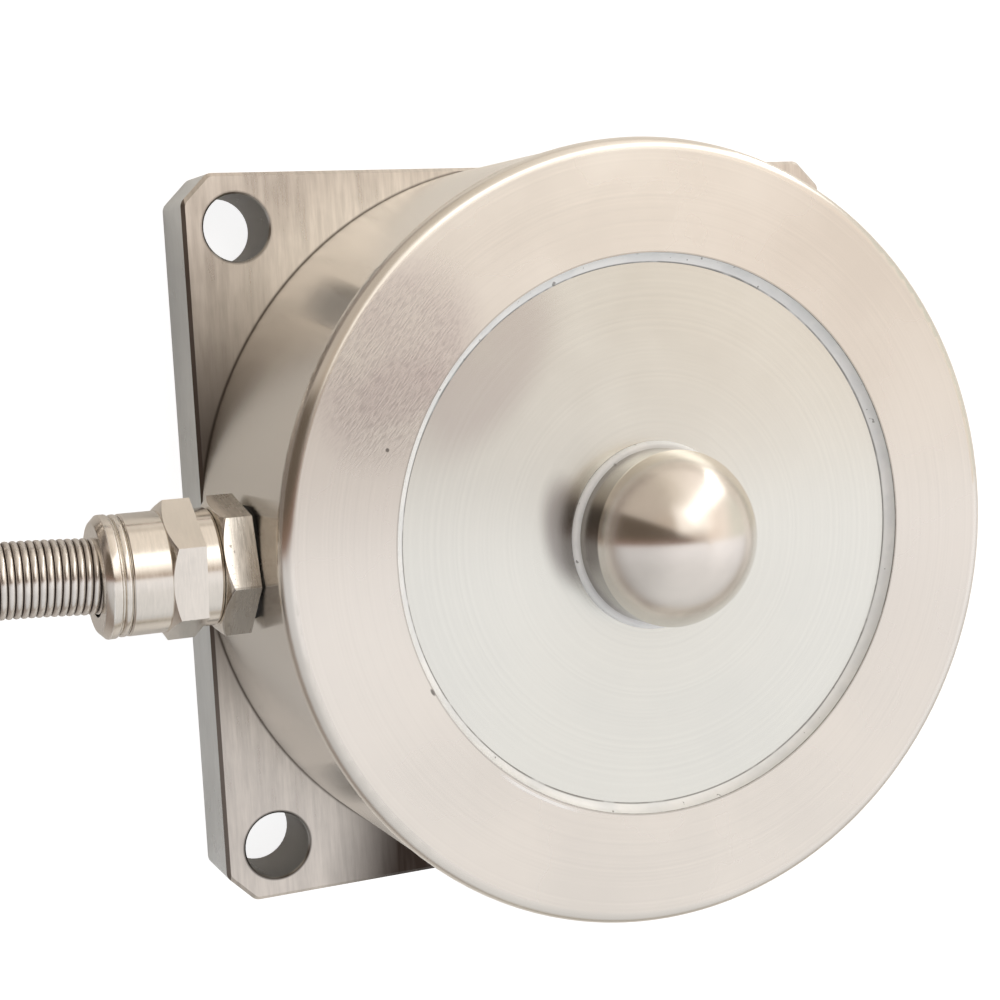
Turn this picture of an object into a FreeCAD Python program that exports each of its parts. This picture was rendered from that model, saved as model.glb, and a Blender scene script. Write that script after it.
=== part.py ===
import FreeCAD, Part
import math
import os
import Sketcher
from FreeCAD import Placement, Rotation, Vector

# Strain gauge load cell of the spoke type.
# +Z is the load axis, z = 0 is the underside of the base plate, and the origin is the plate's centre.
# The cable gland points along -X. All lengths are in millimetres and all angles in degrees.

SIZES = [
    ("rim_d", 100.0, "rim at the drum's upper end"),
    ("rim_lip", 0.15, "rim proud of the drum"),
    ("plate_inset", 0.5, "sides of the square base plate inside the rim"),
    ("plate_thickness", 10.5, "thickness of the base plate"),
    ("corner_cut", 3.8, "bevel across the plate's corners"),
    ("corner_round", 1.5, "round where a corner bevel meets a side"),
    ("edge_break", 0.5, "broken edge round the plate's upper face"),
    ("mount_inset", 7.3, "mounting holes from the plate's sides"),
    ("mount_hole_d", 9.0, "mounting hole"),
    ("mount_hole_break", 0.25, "broken upper edge of a mounting hole"),
    ("rim_round", 1.7, "round on the rim"),
    ("rim_land", 0.35, "straight band below the round"),
    ("foot_break", 0.3, "broken edge at the drum's foot"),
    ("face_height", 47.2, "ring face above the plate's underside"),
    ("ring_wall", 16.85, "ring between the drum's side and the pockets"),
    ("cover_ledge", 2.6, "ledge under the cover disc's edge"),
    ("cover_sink", 1.4, "cover disc below the ring face"),
    ("cover_thickness", 1.5, "cover disc"),
    ("cover_gap", 0.2, "radial gap round the cover disc"),
    ("seal_toe", 1.2, "width of the silicone fillet on the cover disc"),
    ("seal_top_gap", 0.12, "seal below the ring face"),
    ("hub_d", 30.0, "hub"),
    ("hub_lift", 0.5, "hub above the lower cover disc"),
    ("spoke_width", 11.0, "width of a spoke"),
    ("spoke_height", 19.0, "height of a spoke"),
    ("spoke_lift", 5.5, "spokes above the lower cover disc"),
    ("spoke_angle", 45.0, "first spoke from +X"),
    ("pocket_round", 3.0, "corner round in the pockets"),
    ("gauge_pocket_d", 11.0, "round pocket in a spoke's side"),
    ("gauge_pocket_depth", 2.5, "depth of that pocket"),
    ("gauge_side", 5.0, "foil gauge"),
    ("gauge_thickness", 0.15, "foil gauge"),
    ("lower_ledge", 2.2, "ledge over the lower cover disc's edge"),
    ("lower_recess_depth", 3.0, "recess in the drum's foot"),
    ("lower_cover_thickness", 1.5, "lower cover disc"),
    ("gasket_offset", 2.7, "middle of the gasket groove from the lower recess"),
    ("gasket_groove_width", 2.4, "gasket groove"),
    ("gasket_groove_depth", 1.35, "gasket groove"),
    ("gasket_side_gap", 0.1, "gasket to the groove's walls"),
    ("screw_inset", 6.25, "base screws inside the drum's side"),
    ("screw_count", 8.0, "base screws"),
    ("screw_start_angle", 22.5, "first base screw from +X"),
    ("screw_d", 5.0, "base screw thread"),
    ("screw_length", 16.0, "base screw from its head"),
    ("screw_head_d", 9.2, "countersunk head"),
    ("screw_head_sink", 0.3, "head below the plate's underside"),
    ("screw_socket_d", 3.0, "hexagon socket across flats"),
    ("screw_socket_depth", 1.9, "hexagon socket"),
    ("screw_hole_gap", 0.25, "screw shank to its clearance hole"),
    ("screw_tap_run_out", 2.5, "tapped hole beyond the screw"),
    ("thread_gap", 0.05, "radial gap that stands for a cut thread"),
    ("slip_gap", 0.1, "radial gap of a plain fit"),
    ("button_d", 22.2, "load button"),
    ("button_land", 5.5, "straight side of the button above the cover disc"),
    ("dome_height", 8.1, "dome above the straight side"),
    ("button_hole_gap", 0.25, "button to the cover disc"),
    ("button_seal_toe", 0.9, "silicone bead round the button"),
    ("button_seal_height", 0.65, "silicone bead round the button"),
    ("stem_d", 12.0, "threaded stem of the button"),
    ("stem_length", 14.0, "threaded stem of the button"),
    ("stem_run_out", 4.0, "tapped hole below the stem"),
    ("stem_chamfer", 0.8, "end of the stem"),
    ("gland_height", 30.4, "gland axis above the plate's underside"),
    ("gland_thread_d", 12.0, "gland thread in the drum's wall"),
    ("gland_thread_length", 10.0, "gland thread in the drum's wall"),
    ("washer_d", 17.2, "rubber washer"),
    ("washer_squeeze", 0.45, "thinnest part of the washer"),
    ("hex_flats", 15.3, "both hexagons across flats"),
    ("hex_chamfer", 0.75, "turned chamfer on the hexagons, along the axis"),
    ("body_hex_length", 3.75, "hexagon next to the drum"),
    ("body_hex_turn", 46.0, "corner of that hexagon from +Z towards +Y"),
    ("nut_gap", 0.2, "gland body's hexagon to the nut"),
    ("nut_collar_d", 14.6, "plain collar of the nut"),
    ("nut_collar_length", 2.1, "plain collar of the nut"),
    ("nut_hex_length", 4.1, "hexagon of the nut"),
    ("nut_hex_turn", 22.9, "corner of that hexagon from +Z towards +Y"),
    ("sleeve_d", 14.9, "round sleeve of the nut"),
    ("sleeve_length", 4.65, "round sleeve of the nut"),
    ("sleeve_break", 0.2, "broken edges of the sleeve and the rings"),
    ("nose_d", 11.2, "threaded nose of the gland body"),
    ("nose_length", 4.4, "threaded nose of the gland body"),
    ("grommet_seat_d", 8.8, "seat for the grommet"),
    ("grommet_seat_depth", 3.0, "seat for the grommet"),
    ("grommet_length", 4.8, "rubber grommet"),
    ("clamp_ring_thickness", 1.0, "clamp ring"),
    ("nut_neck_d", 9.2, "narrow bore of the nut"),
    ("nut_neck_length", 0.7, "narrow bore of the nut"),
    ("spigot_d", 12.2, "adaptor's spigot in the nut"),
    ("adaptor_gap", 0.15, "nut to the adaptor's first ring"),
    ("bead_ring_length", 0.85, "adaptor's first ring"),
    ("ring_groove_width", 0.25, "groove between the adaptor's rings"),
    ("ring_groove_depth", 0.4, "groove between the adaptor's rings"),
    ("end_ring_d", 15.1, "adaptor's end ring"),
    ("end_ring_length", 2.0, "adaptor's end ring"),
    ("end_ring_chamfer", 0.85, "adaptor's end ring"),
    ("socket_d", 10.2, "socket for the conduit"),
    ("socket_depth", 2.8, "socket for the conduit"),
    ("cable_d", 5.0, "signal cable"),
    ("cable_bend", 8.0, "bend of the cable inside the drum"),
    ("cable_gap", 0.15, "cable to the bores that it passes"),
    ("cable_inset", 2.0, "cable's end from the middle of the terminal board"),
    ("cable_strip_height", 3.5, "bare cores above the terminal board"),
    ("core_d", 1.1, "one core of the cable"),
    ("core_circle_d", 2.4, "circle of the cores"),
    ("board_length", 14.0, "terminal board"),
    ("board_width", 10.0, "terminal board"),
    ("board_thickness", 1.2, "terminal board"),
    ("board_inset", 0.5, "middle of the board inside the gauges' circle"),
    ("resistor_length", 3.2, "chip resistor"),
    ("resistor_width", 1.6, "chip resistor"),
    ("resistor_thickness", 0.55, "chip resistor"),
    ("resistor_pitch", 2.6, "chip resistors"),
    ("resistor_inset", 1.0, "chip resistors from the board's edge"),
    ("harness_d", 1.2, "bundle of gauge wires"),
    ("riser_d", 0.7, "wires up to a gauge"),
    ("riser_gap", 0.15, "wires to the spoke's side"),
    ("conduit_d", 9.3, "steel conduit"),
    ("coil_inner_d", 82.0, "innermost turn of the coil's upper layer, at the conduit's middle"),
    ("coil_low_d", 79.0, "innermost turn of its lower layer"),
    ("coil_x", -148.0, "centre of the coil"),
    ("coil_y", 31.0, "centre of the coil"),
    ("coil_edge_round", 4.2, "round on the coil's outer shape"),
    ("exit_stub", 42.0, "straight conduit out of the coil"),
    ("ferrule_d", 11.2, "ferrule at the conduit's free end"),
    ("ferrule_length", 14.0, "ferrule beyond the conduit's end"),
    ("ferrule_taper", 5.0, "narrowing end of that ferrule"),
    ("ferrule_neck_d", 8.4, "narrow end of that ferrule"),
    ("ferrule_socket_depth", 8.0, "ferrule over the conduit"),
    ("crimp_width", 1.2, "crimped groove round the ferrule"),
    ("crimp_depth", 0.35, "crimped groove round the ferrule"),
    ("lead_d", 1.4, "insulated lead"),
    ("lead_tip_d", 0.8, "tinned end of a lead, and the shield drain"),
    ("lead_tip_length", 6.0, "tinned end of a lead"),
]

SPOKE_COUNT = 4
SIDES = (1, -1)

# The conduit leaves its socket, passes these points, which are offsets from there, and comes down
# on the coil's upper layer. The coil's solid takes over in the middle of one run.
CONDUIT_ROUTE = [
    (0, 0, 0), (-10.45, 0.8, -0.1), (-21.45, 0.8, -0.3), (-33.65, -3.2, -1.3),
    (-44.25, -11.2, -3.4), (-53.05, -21.4, -6.6), (-63.85, -29.8, -10.5), (-76.65, -33.7, -14.4)
]
POINTS_BEFORE_COIL = 5
COIL_TOP_TURNS = 2.5
COIL_LOWER_TURNS = 2.89
COIL_LANDING_ANGLE = -97.5
COIL_LANDING_HEIGHT = 13.95

# Routes at the free end, as offsets from the middle of the end of the piece before.
TAIL_ROUTE = [(0, 0, 0), (20, 0, 0), (39, -8.5, -3.1), (57, -8.5, -3.1)]
LEAD_ROUTES = {
    "lead_red": [
        (0, -0.85, 0.85), (8, -0.85, 0.85), (17, -3.6, -0.6), (30, -8.0, -1.8), (42, -12.0, -1.8)
    ],
    "lead_black": [
        (0, 0.85, 0.85), (8, 0.85, 0.85), (17, 3.4, -0.4), (29, 9.5, -1.8), (43, 13.0, -1.8)
    ],
    "lead_green": [
        (0, -0.85, -0.85), (8, -0.85, -0.85), (18, -1.7, -1.8), (31, -4.8, -1.8), (43, -5.4, -1.8)
    ],
    "lead_white": [
        (0, 0.85, -0.85), (7.5, 0.85, -0.85), (17, 2.0, -1.8), (30, 3.4, -1.8), (44, 6.0, -1.8)
    ],
}
DRAIN_ROUTE = [(0, 0, 1.95), (7, 0, 1.95), (16, 0.2, -0.4), (26, -0.7, -2.1), (35, -0.9, -2.1)]


class Size:
    """A size and the expression that ties it to the sheet."""

    def __init__(self, value, text):
        self.value = value
        self.text = text

    def __add__(self, other):
        other = as_size(other)
        return Size(self.value + other.value, f"({self.text} + {other.text})")

    def __sub__(self, other):
        other = as_size(other)
        return Size(self.value - other.value, f"({self.text} - {other.text})")

    def __mul__(self, other):
        other = as_size(other)
        return Size(self.value * other.value, f"({self.text} * {other.text})")

    def __truediv__(self, other):
        other = as_size(other)
        return Size(self.value / other.value, f"({self.text} / {other.text})")

    def __neg__(self):
        return Size(-self.value, f"(0 - {self.text})")


def as_size(number):
    if isinstance(number, Size):
        return number
    return Size(float(number), f"({float(number):.6f})")


def root(size):
    return Size(math.sqrt(size.value), f"sqrt({size.text})")


def sine(angle):
    angle = as_size(angle)
    return Size(math.sin(math.radians(angle.value)), f"sin({angle.text} * 1 deg)")


def cosine(angle):
    angle = as_size(angle)
    return Size(math.cos(math.radians(angle.value)), f"cos({angle.text} * 1 deg)")


def make_sheet(doc):
    sheet = doc.addObject("Spreadsheet::Sheet", "Sizes")
    for row, (alias, number, note) in enumerate(SIZES, start=1):
        sheet.set(f"A{row}", note)
        sheet.set(f"B{row}", str(number))
        sheet.setAlias(f"B{row}", alias)
    doc.recompute()
    return {alias: Size(sheet.get(alias), f"Sizes.{alias}") for alias, number, note in SIZES}


DOC = FreeCAD.newDocument("LoadCell")
S = make_sheet(DOC)
PARTS = []

# Heights and radii that several pieces share
PLATE_TOP = S["plate_thickness"]
RIM_RADIUS = S["rim_d"] / 2
DRUM_RADIUS = RIM_RADIUS - S["rim_lip"]
HALF_PLATE = RIM_RADIUS - S["plate_inset"]
FACE = S["face_height"]
COVER_TOP = FACE - S["cover_sink"]
COVER_SEAT = COVER_TOP - S["cover_thickness"]
CAVITY_RADIUS = DRUM_RADIUS - S["ring_wall"]
RECESS_RADIUS = CAVITY_RADIUS + S["cover_ledge"]
HUB_RADIUS = S["hub_d"] / 2
GAUGE_RADIUS = (HUB_RADIUS + CAVITY_RADIUS) / 2
LOWER_RECESS_RADIUS = CAVITY_RADIUS + S["lower_ledge"]
LOWER_SEAT = PLATE_TOP + S["lower_recess_depth"]
HUB_FOOT = LOWER_SEAT + S["hub_lift"]
SPOKE_BOTTOM = LOWER_SEAT + S["spoke_lift"]
SPOKE_TOP = SPOKE_BOTTOM + S["spoke_height"]
SPOKE_MIDDLE = (SPOKE_BOTTOM + SPOKE_TOP) / 2
HALF_SPOKE = S["spoke_width"] / 2
GAUGE_FLOOR = HALF_SPOKE - S["gauge_pocket_depth"]
BUTTON_RADIUS = S["button_d"] / 2
STEM_HOLE_RADIUS = S["stem_d"] / 2
GASKET_RADIUS = LOWER_RECESS_RADIUS + S["gasket_offset"]
SCREW_AXIS = DRUM_RADIUS - S["screw_inset"]
SCREW_HEAD_RADIUS = S["screw_head_d"] / 2
SCREW_HOLE_RADIUS = S["screw_d"] / 2 + S["screw_hole_gap"]
SCREW_CONE_TOP = S["screw_head_sink"] + SCREW_HEAD_RADIUS - SCREW_HOLE_RADIUS
SCREW_TIP = S["screw_head_sink"] + S["screw_length"]
CABLE_RADIUS = S["cable_d"] / 2
CABLE_BORE = CABLE_RADIUS + S["cable_gap"]
BOARD_TOP = LOWER_SEAT + S["board_thickness"]
BOARD_RADIUS = GAUGE_RADIUS - S["board_inset"]
CABLE_FOOT = BOARD_RADIUS - S["cable_inset"]
CONDUIT_RADIUS = S["conduit_d"] / 2
FERRULE_RADIUS = S["ferrule_d"] / 2

# Stations along the gland, measured outwards from the load axis
WASHER_FACE = DRUM_RADIUS + S["washer_squeeze"]
BODY_END = WASHER_FACE + S["body_hex_length"]
NOSE_END = BODY_END + S["nose_length"]
GROMMET_SEAT = NOSE_END - S["grommet_seat_depth"]
GROMMET_END = GROMMET_SEAT + S["grommet_length"]
CLAMP_END = GROMMET_END + S["clamp_ring_thickness"]
NUT_START = BODY_END + S["nut_gap"]
COLLAR_END = NUT_START + S["nut_collar_length"]
NUT_HEX_END = COLLAR_END + S["nut_hex_length"]
SLEEVE_END = NUT_HEX_END + S["sleeve_length"]
NECK_END = CLAMP_END + S["nut_neck_length"]
ADAPTOR_START = SLEEVE_END + S["adaptor_gap"]
BEAD_END = ADAPTOR_START + S["bead_ring_length"]
END_RING_START = BEAD_END + S["ring_groove_width"]
GLAND_END = END_RING_START + S["end_ring_length"]
SOCKET_FLOOR = GLAND_END - S["socket_depth"]
HEX_CORNER_RADIUS = S["hex_flats"] / math.sqrt(3)


class Arc:
    """An outline's corner that is reached along an arc. turn is 1 anticlockwise and -1 clockwise."""

    def __init__(self, x, y, centre, radius, turn):
        self.x = as_size(x)
        self.y = as_size(y)
        self.centre = Vector(as_size(centre[0]).value, as_size(centre[1]).value, 0)
        self.radius = as_size(radius)
        self.turn = turn


def limit(sketch, size, *constraint):
    """Adds a constraint whose value follows a size."""
    index = sketch.addConstraint(Sketcher.Constraint(*constraint, size.value))
    sketch.setExpression(f"Constraints[{index}]", size.text)


def pin(sketch, geometry, point, x, y):
    """Fixes a point of a sketch at two sizes."""
    limit(sketch, as_size(x), "DistanceX", geometry, point)
    limit(sketch, as_size(y), "DistanceY", geometry, point)


def draw_arc(sketch, start, end, arc):
    """Adds an arc and says which of its ends comes first and which last."""
    first, last = (start, end) if arc.turn > 0 else (end, start)
    first_angle = math.atan2(first.y - arc.centre.y, first.x - arc.centre.x)
    last_angle = math.atan2(last.y - arc.centre.y, last.x - arc.centre.x)
    if last_angle <= first_angle:
        last_angle += 2 * math.pi
    whole = Part.Circle(arc.centre, Vector(0, 0, 1), arc.radius.value)
    geometry = sketch.addGeometry(Part.ArcOfCircle(whole, first_angle, last_angle), False)
    limit(sketch, arc.radius, "Radius", geometry)
    return (geometry, 1, 2) if arc.turn > 0 else (geometry, 2, 1)


def outline(sketch, corners):
    """Draws a closed outline and ties every corner to the sheet."""
    points = []
    for corner in corners:
        x, y = (corner.x, corner.y) if isinstance(corner, Arc) else corner
        points.append((as_size(x), as_size(y)))
    edges = []
    for k, corner in enumerate(corners):
        start = Vector(points[k - 1][0].value, points[k - 1][1].value, 0)
        end = Vector(points[k][0].value, points[k][1].value, 0)
        if isinstance(corner, Arc):
            edges.append(draw_arc(sketch, start, end, corner))
        else:
            edges.append((sketch.addGeometry(Part.LineSegment(start, end), False), 1, 2))
    for k, (geometry, _, end_point) in enumerate(edges):
        following, start_point, _ = edges[(k + 1) % len(edges)]
        sketch.addConstraint(
            Sketcher.Constraint("Coincident", geometry, end_point, following, start_point)
        )
        pin(sketch, geometry, end_point, *points[k])


def circle(sketch, x, y, radius):
    """Draws a circle and ties its centre and radius to the sheet."""
    x, y, radius = as_size(x), as_size(y), as_size(radius)
    geometry = sketch.addGeometry(
        Part.Circle(Vector(x.value, y.value, 0), Vector(0, 0, 1), radius.value), False
    )
    limit(sketch, radius, "Radius", geometry)
    pin(sketch, geometry, 3, x, y)


def centre_line(sketch, x, low, high):
    """An upright construction line, the sketch's first axis, for a revolved feature off the middle."""
    start = Vector(x.value, low.value, 0)
    end = Vector(x.value, high.value, 0)
    geometry = sketch.addGeometry(Part.LineSegment(start, end), True)
    pin(sketch, geometry, 1, x, low)
    pin(sketch, geometry, 2, x, high)


def hexagon(corner_radius, turn, x=0, y=0):
    """Corners of a hexagon, the first turned from the sketch's upright towards its +x."""
    x, y, turn = as_size(x), as_size(y), as_size(turn)
    return [
        (x + corner_radius * sine(turn + 60 * k), y + corner_radius * cosine(turn + 60 * k))
        for k in range(6)
    ]


def new_body(name):
    body = DOC.addObject("PartDesign::Body", name)
    body.Label = name
    PARTS.append(body)
    return body


def gland_piece(name):
    """A body that is drawn along +X, lies on the gland's axis and points outwards along -X."""
    body = new_body(name)
    body.Placement = Placement(Vector(0, 0, 0), Rotation(Vector(0, 0, 1), 180))
    body.setExpression("Placement.Base.z", S["gland_height"].text)
    return body


def origin_part(body, role):
    return next(item for item in body.Origin.OriginFeatures if item.Role == role)


def new_sketch(body, name, role, offset=0, turn=None):
    """A sketch on an origin plane, turned about the plane's upright and moved along its normal."""
    offset = as_size(offset)
    sketch = body.newObject("Sketcher::SketchObject", name)
    sketch.AttachmentSupport = [(origin_part(body, role), "")]
    sketch.MapMode = "FlatFace"
    if turn is None:
        sketch.setExpression("AttachmentOffset.Base.z", offset.text)
    else:
        sketch.AttachmentOffset = Placement(Vector(0, 0, 0), Rotation(Vector(0, 1, 0), turn.value))
        sketch.setExpression("AttachmentOffset.Rotation.Angle", turn.text)
        sketch.setExpression("AttachmentOffset.Base.x", (offset * sine(turn)).text)
        sketch.setExpression("AttachmentOffset.Base.z", (offset * cosine(turn)).text)
    return sketch


def add_feature(body, kind, name, sketch):
    feature = body.newObject(f"PartDesign::{kind}", name)
    feature.Profile = sketch
    return feature


def revolve(body, name, sketch, axis="V_Axis"):
    feature = add_feature(body, "Revolution", name, sketch)
    feature.ReferenceAxis = (sketch, [axis])
    feature.Angle = 360
    DOC.recompute()
    return feature


def pad(body, name, sketch, length, reverse=False):
    feature = add_feature(body, "Pad", name, sketch)
    feature.Reversed = reverse
    feature.setExpression("Length", length.text)
    DOC.recompute()
    return feature


def pocket(body, name, sketch, length=None, reverse=False):
    """Without a length it goes right through."""
    before = body.Shape.Volume
    feature = add_feature(body, "Pocket", name, sketch)
    feature.Reversed = reverse
    if length is None:
        feature.Type = "ThroughAll"
    else:
        feature.setExpression("Length", length.text)
    DOC.recompute()
    require_less(body, before, name)
    return feature


def groove(body, name, sketch, axis):
    before = body.Shape.Volume
    feature = add_feature(body, "Groove", name, sketch)
    feature.ReferenceAxis = (sketch, [axis])
    feature.Angle = 360
    DOC.recompute()
    require_less(body, before, name)
    return feature


def require_less(body, before, name):
    if body.Shape.Volume > before - 1e-6:
        raise RuntimeError(f"{name} cuts nothing")


def repeat_round(body, name, originals, count):
    feature = body.newObject("PartDesign::PolarPattern", name)
    feature.Originals = originals
    feature.Axis = (origin_part(body, "Z_Axis"), [""])
    feature.Angle = 360
    feature.setExpression("Occurrences", as_size(count).text)
    body.Tip = feature
    DOC.recompute()
    return feature


def dress(body, kind, name, base, test, dimension, size):
    """A fillet or chamfer on the edges of base that pass the test."""
    edges = [f"Edge{k}" for k, edge in enumerate(base.Shape.Edges, start=1) if test(edge)]
    feature = body.newObject(f"PartDesign::{kind}", name)
    feature.Base = (base, edges)
    feature.setExpression(dimension, size.text)
    body.Tip = feature
    DOC.recompute()
    return feature


def lies_at(edge, height):
    return all(abs(vertex.Z - height.value) < 1e-4 for vertex in edge.Vertexes)


def stands_up(edge):
    along = edge.Vertexes[-1].Point - edge.Vertexes[0].Point
    return along.Length > 1e-3 and along.cross(Vector(0, 0, 1)).Length < 1e-4


def make_base_plate():
    """Square plate with bevelled corners, mounting holes and countersunk screw holes below."""
    body = new_body("base_plate")
    half = HALF_PLATE
    inner = half - S["corner_cut"]
    sketch = new_sketch(body, "PlateOutline", "XY_Plane")
    outline(
        sketch,
        [
            (half, inner),
            (inner, half),
            (-inner, half),
            (-half, inner),
            (-half, -inner),
            (-inner, -half),
            (inner, -half),
            (half, -inner),
        ],
    )
    block = pad(body, "PlateBlock", sketch, PLATE_TOP)
    rounded = dress(body, "Fillet", "CornerRounds", block, stands_up, "Radius", S["corner_round"])
    dress(
        body,
        "Chamfer",
        "UpperEdgeBreak",
        rounded,
        lambda edge: lies_at(edge, PLATE_TOP),
        "Size",
        S["edge_break"],
    )

    place = half - S["mount_inset"]
    radius = S["mount_hole_d"] / 2
    sketch = new_sketch(body, "MountHole", "XY_Plane")
    circle(sketch, place, place, radius)
    hole = pocket(body, "MountHoleCut", sketch, reverse=True)
    holes = repeat_round(body, "MountHoles", [hole], SPOKE_COUNT)

    def is_hole_mouth(edge):
        return (
            lies_at(edge, PLATE_TOP)
            and isinstance(edge.Curve, Part.Circle)
            and abs(edge.Curve.Radius - radius.value) < 1e-4
        )

    dress(body, "Chamfer", "HoleEdgeBreak", holes, is_hole_mouth, "Size", S["mount_hole_break"])

    sketch = new_sketch(body, "ScrewSeatProfile", "XZ_Plane", turn=S["screw_start_angle"])
    below = as_size(-1)
    above = PLATE_TOP + 1
    outline(
        sketch,
        [
            (SCREW_AXIS, below),
            (SCREW_AXIS + SCREW_HEAD_RADIUS, below),
            (SCREW_AXIS + SCREW_HEAD_RADIUS, S["screw_head_sink"]),
            (SCREW_AXIS + SCREW_HOLE_RADIUS, SCREW_CONE_TOP),
            (SCREW_AXIS + SCREW_HOLE_RADIUS, above),
            (SCREW_AXIS, above),
        ],
    )
    centre_line(sketch, SCREW_AXIS, below, above)
    seat = groove(body, "ScrewSeat", sketch, "Axis0")
    repeat_round(body, "ScrewSeats", [seat], S["screw_count"])


def make_base_screws():
    """Countersunk screws up through the plate into the drum, one group."""
    body = new_body("base_screws")
    turn = S["screw_start_angle"]
    sink = S["screw_head_sink"]
    shank = S["screw_d"] / 2 - S["thread_gap"]
    shank_start = SCREW_CONE_TOP + SCREW_HOLE_RADIUS - shank
    tip_break = S["screw_hole_gap"]
    sketch = new_sketch(body, "ScrewProfile", "XZ_Plane", turn=turn)
    outline(
        sketch,
        [
            (SCREW_AXIS, sink),
            (SCREW_AXIS + SCREW_HEAD_RADIUS, sink),
            (SCREW_AXIS + shank, shank_start),
            (SCREW_AXIS + shank, SCREW_TIP - tip_break),
            (SCREW_AXIS + shank - tip_break, SCREW_TIP),
            (SCREW_AXIS, SCREW_TIP),
        ],
    )
    centre_line(sketch, SCREW_AXIS, sink, SCREW_TIP)
    screw = revolve(body, "Screw", sketch, "Axis0")

    corner_radius = S["screw_socket_d"] / math.sqrt(3)
    sketch = new_sketch(body, "ScrewSocketOutline", "XY_Plane", sink)
    outline(sketch, hexagon(corner_radius, 0, SCREW_AXIS * cosine(turn), SCREW_AXIS * sine(turn)))
    socket = pocket(body, "ScrewSocket", sketch, S["screw_socket_depth"], reverse=True)
    repeat_round(body, "Screws", [screw, socket], S["screw_count"])


def make_sensing_body():
    """Outer ring, hub and four spokes, turned and milled from one bar."""
    body = new_body("sensing_body")
    groove_in = GASKET_RADIUS - S["gasket_groove_width"] / 2
    groove_out = GASKET_RADIUS + S["gasket_groove_width"] / 2
    groove_top = PLATE_TOP + S["gasket_groove_depth"]
    round_start = FACE - S["rim_round"]
    rim_step = round_start - S["rim_land"]
    face_out = RIM_RADIUS - S["rim_round"]
    stem_floor = COVER_SEAT - S["stem_length"] - S["stem_run_out"]
    sketch = new_sketch(body, "TurnedProfile", "XZ_Plane")
    outline(
        sketch,
        [
            (0, HUB_FOOT),
            (HUB_RADIUS, HUB_FOOT),
            (HUB_RADIUS, SPOKE_BOTTOM),
            (CAVITY_RADIUS, SPOKE_BOTTOM),
            (CAVITY_RADIUS, LOWER_SEAT),
            (LOWER_RECESS_RADIUS, LOWER_SEAT),
            (LOWER_RECESS_RADIUS, PLATE_TOP),
            (groove_in, PLATE_TOP),
            (groove_in, groove_top),
            (groove_out, groove_top),
            (groove_out, PLATE_TOP),
            (DRUM_RADIUS - S["foot_break"], PLATE_TOP),
            (DRUM_RADIUS, PLATE_TOP + S["foot_break"]),
            (DRUM_RADIUS, rim_step - (RIM_RADIUS - DRUM_RADIUS)),
            (RIM_RADIUS, rim_step),
            (RIM_RADIUS, round_start),
            Arc(face_out, FACE, (face_out, round_start), S["rim_round"], 1),
            (RECESS_RADIUS, FACE),
            (RECESS_RADIUS, COVER_SEAT),
            (CAVITY_RADIUS, COVER_SEAT),
            (CAVITY_RADIUS, SPOKE_TOP),
            (HUB_RADIUS, SPOKE_TOP),
            (HUB_RADIUS, COVER_SEAT),
            (STEM_HOLE_RADIUS, COVER_SEAT),
            (STEM_HOLE_RADIUS, stem_floor),
            (0, stem_floor),
        ],
    )
    revolve(body, "TurnedBlank", sketch)

    sketch = new_sketch(body, "PocketOutline", "XY_Plane")
    outline(sketch, pocket_outline())
    window = pocket(body, "SpokePocket", sketch, reverse=True)
    repeat_round(body, "SpokePockets", [window], SPOKE_COUNT)

    sinks = []
    for side, name in zip(SIDES, ("Near", "Far")):
        sketch = new_sketch(
            body, f"{name}GaugePocketOutline", "XZ_Plane", HALF_SPOKE * side, S["spoke_angle"]
        )
        circle(sketch, GAUGE_RADIUS, SPOKE_MIDDLE, S["gauge_pocket_d"] / 2)
        sinks.append(
            pocket(body, f"{name}GaugePocket", sketch, S["gauge_pocket_depth"], reverse=side < 0)
        )
    repeat_round(body, "GaugePockets", sinks, SPOKE_COUNT)

    middle_of_pocket = -GAUGE_RADIUS
    sketch = new_sketch(body, "GlandPortOutline", "YZ_Plane", middle_of_pocket)
    circle(sketch, 0, S["gland_height"], S["gland_thread_d"] / 2)
    pocket(body, "GlandPort", sketch)

    turn = S["screw_start_angle"]
    sketch = new_sketch(body, "BaseTapOutline", "XY_Plane", PLATE_TOP)
    circle(sketch, SCREW_AXIS * cosine(turn), SCREW_AXIS * sine(turn), S["screw_d"] / 2)
    depth = SCREW_TIP + S["screw_tap_run_out"] - PLATE_TOP
    tap = pocket(body, "BaseTap", sketch, depth, reverse=True)
    repeat_round(body, "BaseTaps", [tap], S["screw_count"])


def pocket_outline():
    """The space between two spokes, seen along the load axis, with rounded corners."""
    corner = S["pocket_round"]
    half = HALF_SPOKE
    along_x = cosine(S["spoke_angle"])
    along_y = sine(S["spoke_angle"])

    def place(along, across):
        """A point by its distance along the first spoke and from that spoke's middle line."""
        return (along * along_x + across * along_y, along * along_y - across * along_x)

    def mirrored(point):
        return (point[0], -point[1])

    outer = CAVITY_RADIUS - corner
    inner = HUB_RADIUS + corner
    beside = half + corner
    outer_along = root(outer * outer - beside * beside)
    inner_along = root(inner * inner - beside * beside)
    outer_centre = place(outer_along, beside)
    inner_centre = place(inner_along, beside)
    outer_side = place(outer_along, half)
    inner_side = place(inner_along, half)
    outer_wall = tuple(value * (CAVITY_RADIUS / outer) for value in outer_centre)
    inner_wall = tuple(value * (HUB_RADIUS / inner) for value in inner_centre)
    middle = (0, 0)
    return [
        Arc(*outer_side, outer_centre, corner, 1),
        inner_side,
        Arc(*inner_wall, inner_centre, corner, 1),
        Arc(*mirrored(inner_wall), middle, HUB_RADIUS, -1),
        Arc(*mirrored(inner_side), mirrored(inner_centre), corner, 1),
        mirrored(outer_side),
        Arc(*mirrored(outer_wall), mirrored(outer_centre), corner, 1),
        Arc(*outer_wall, middle, CAVITY_RADIUS, 1),
    ]


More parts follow.
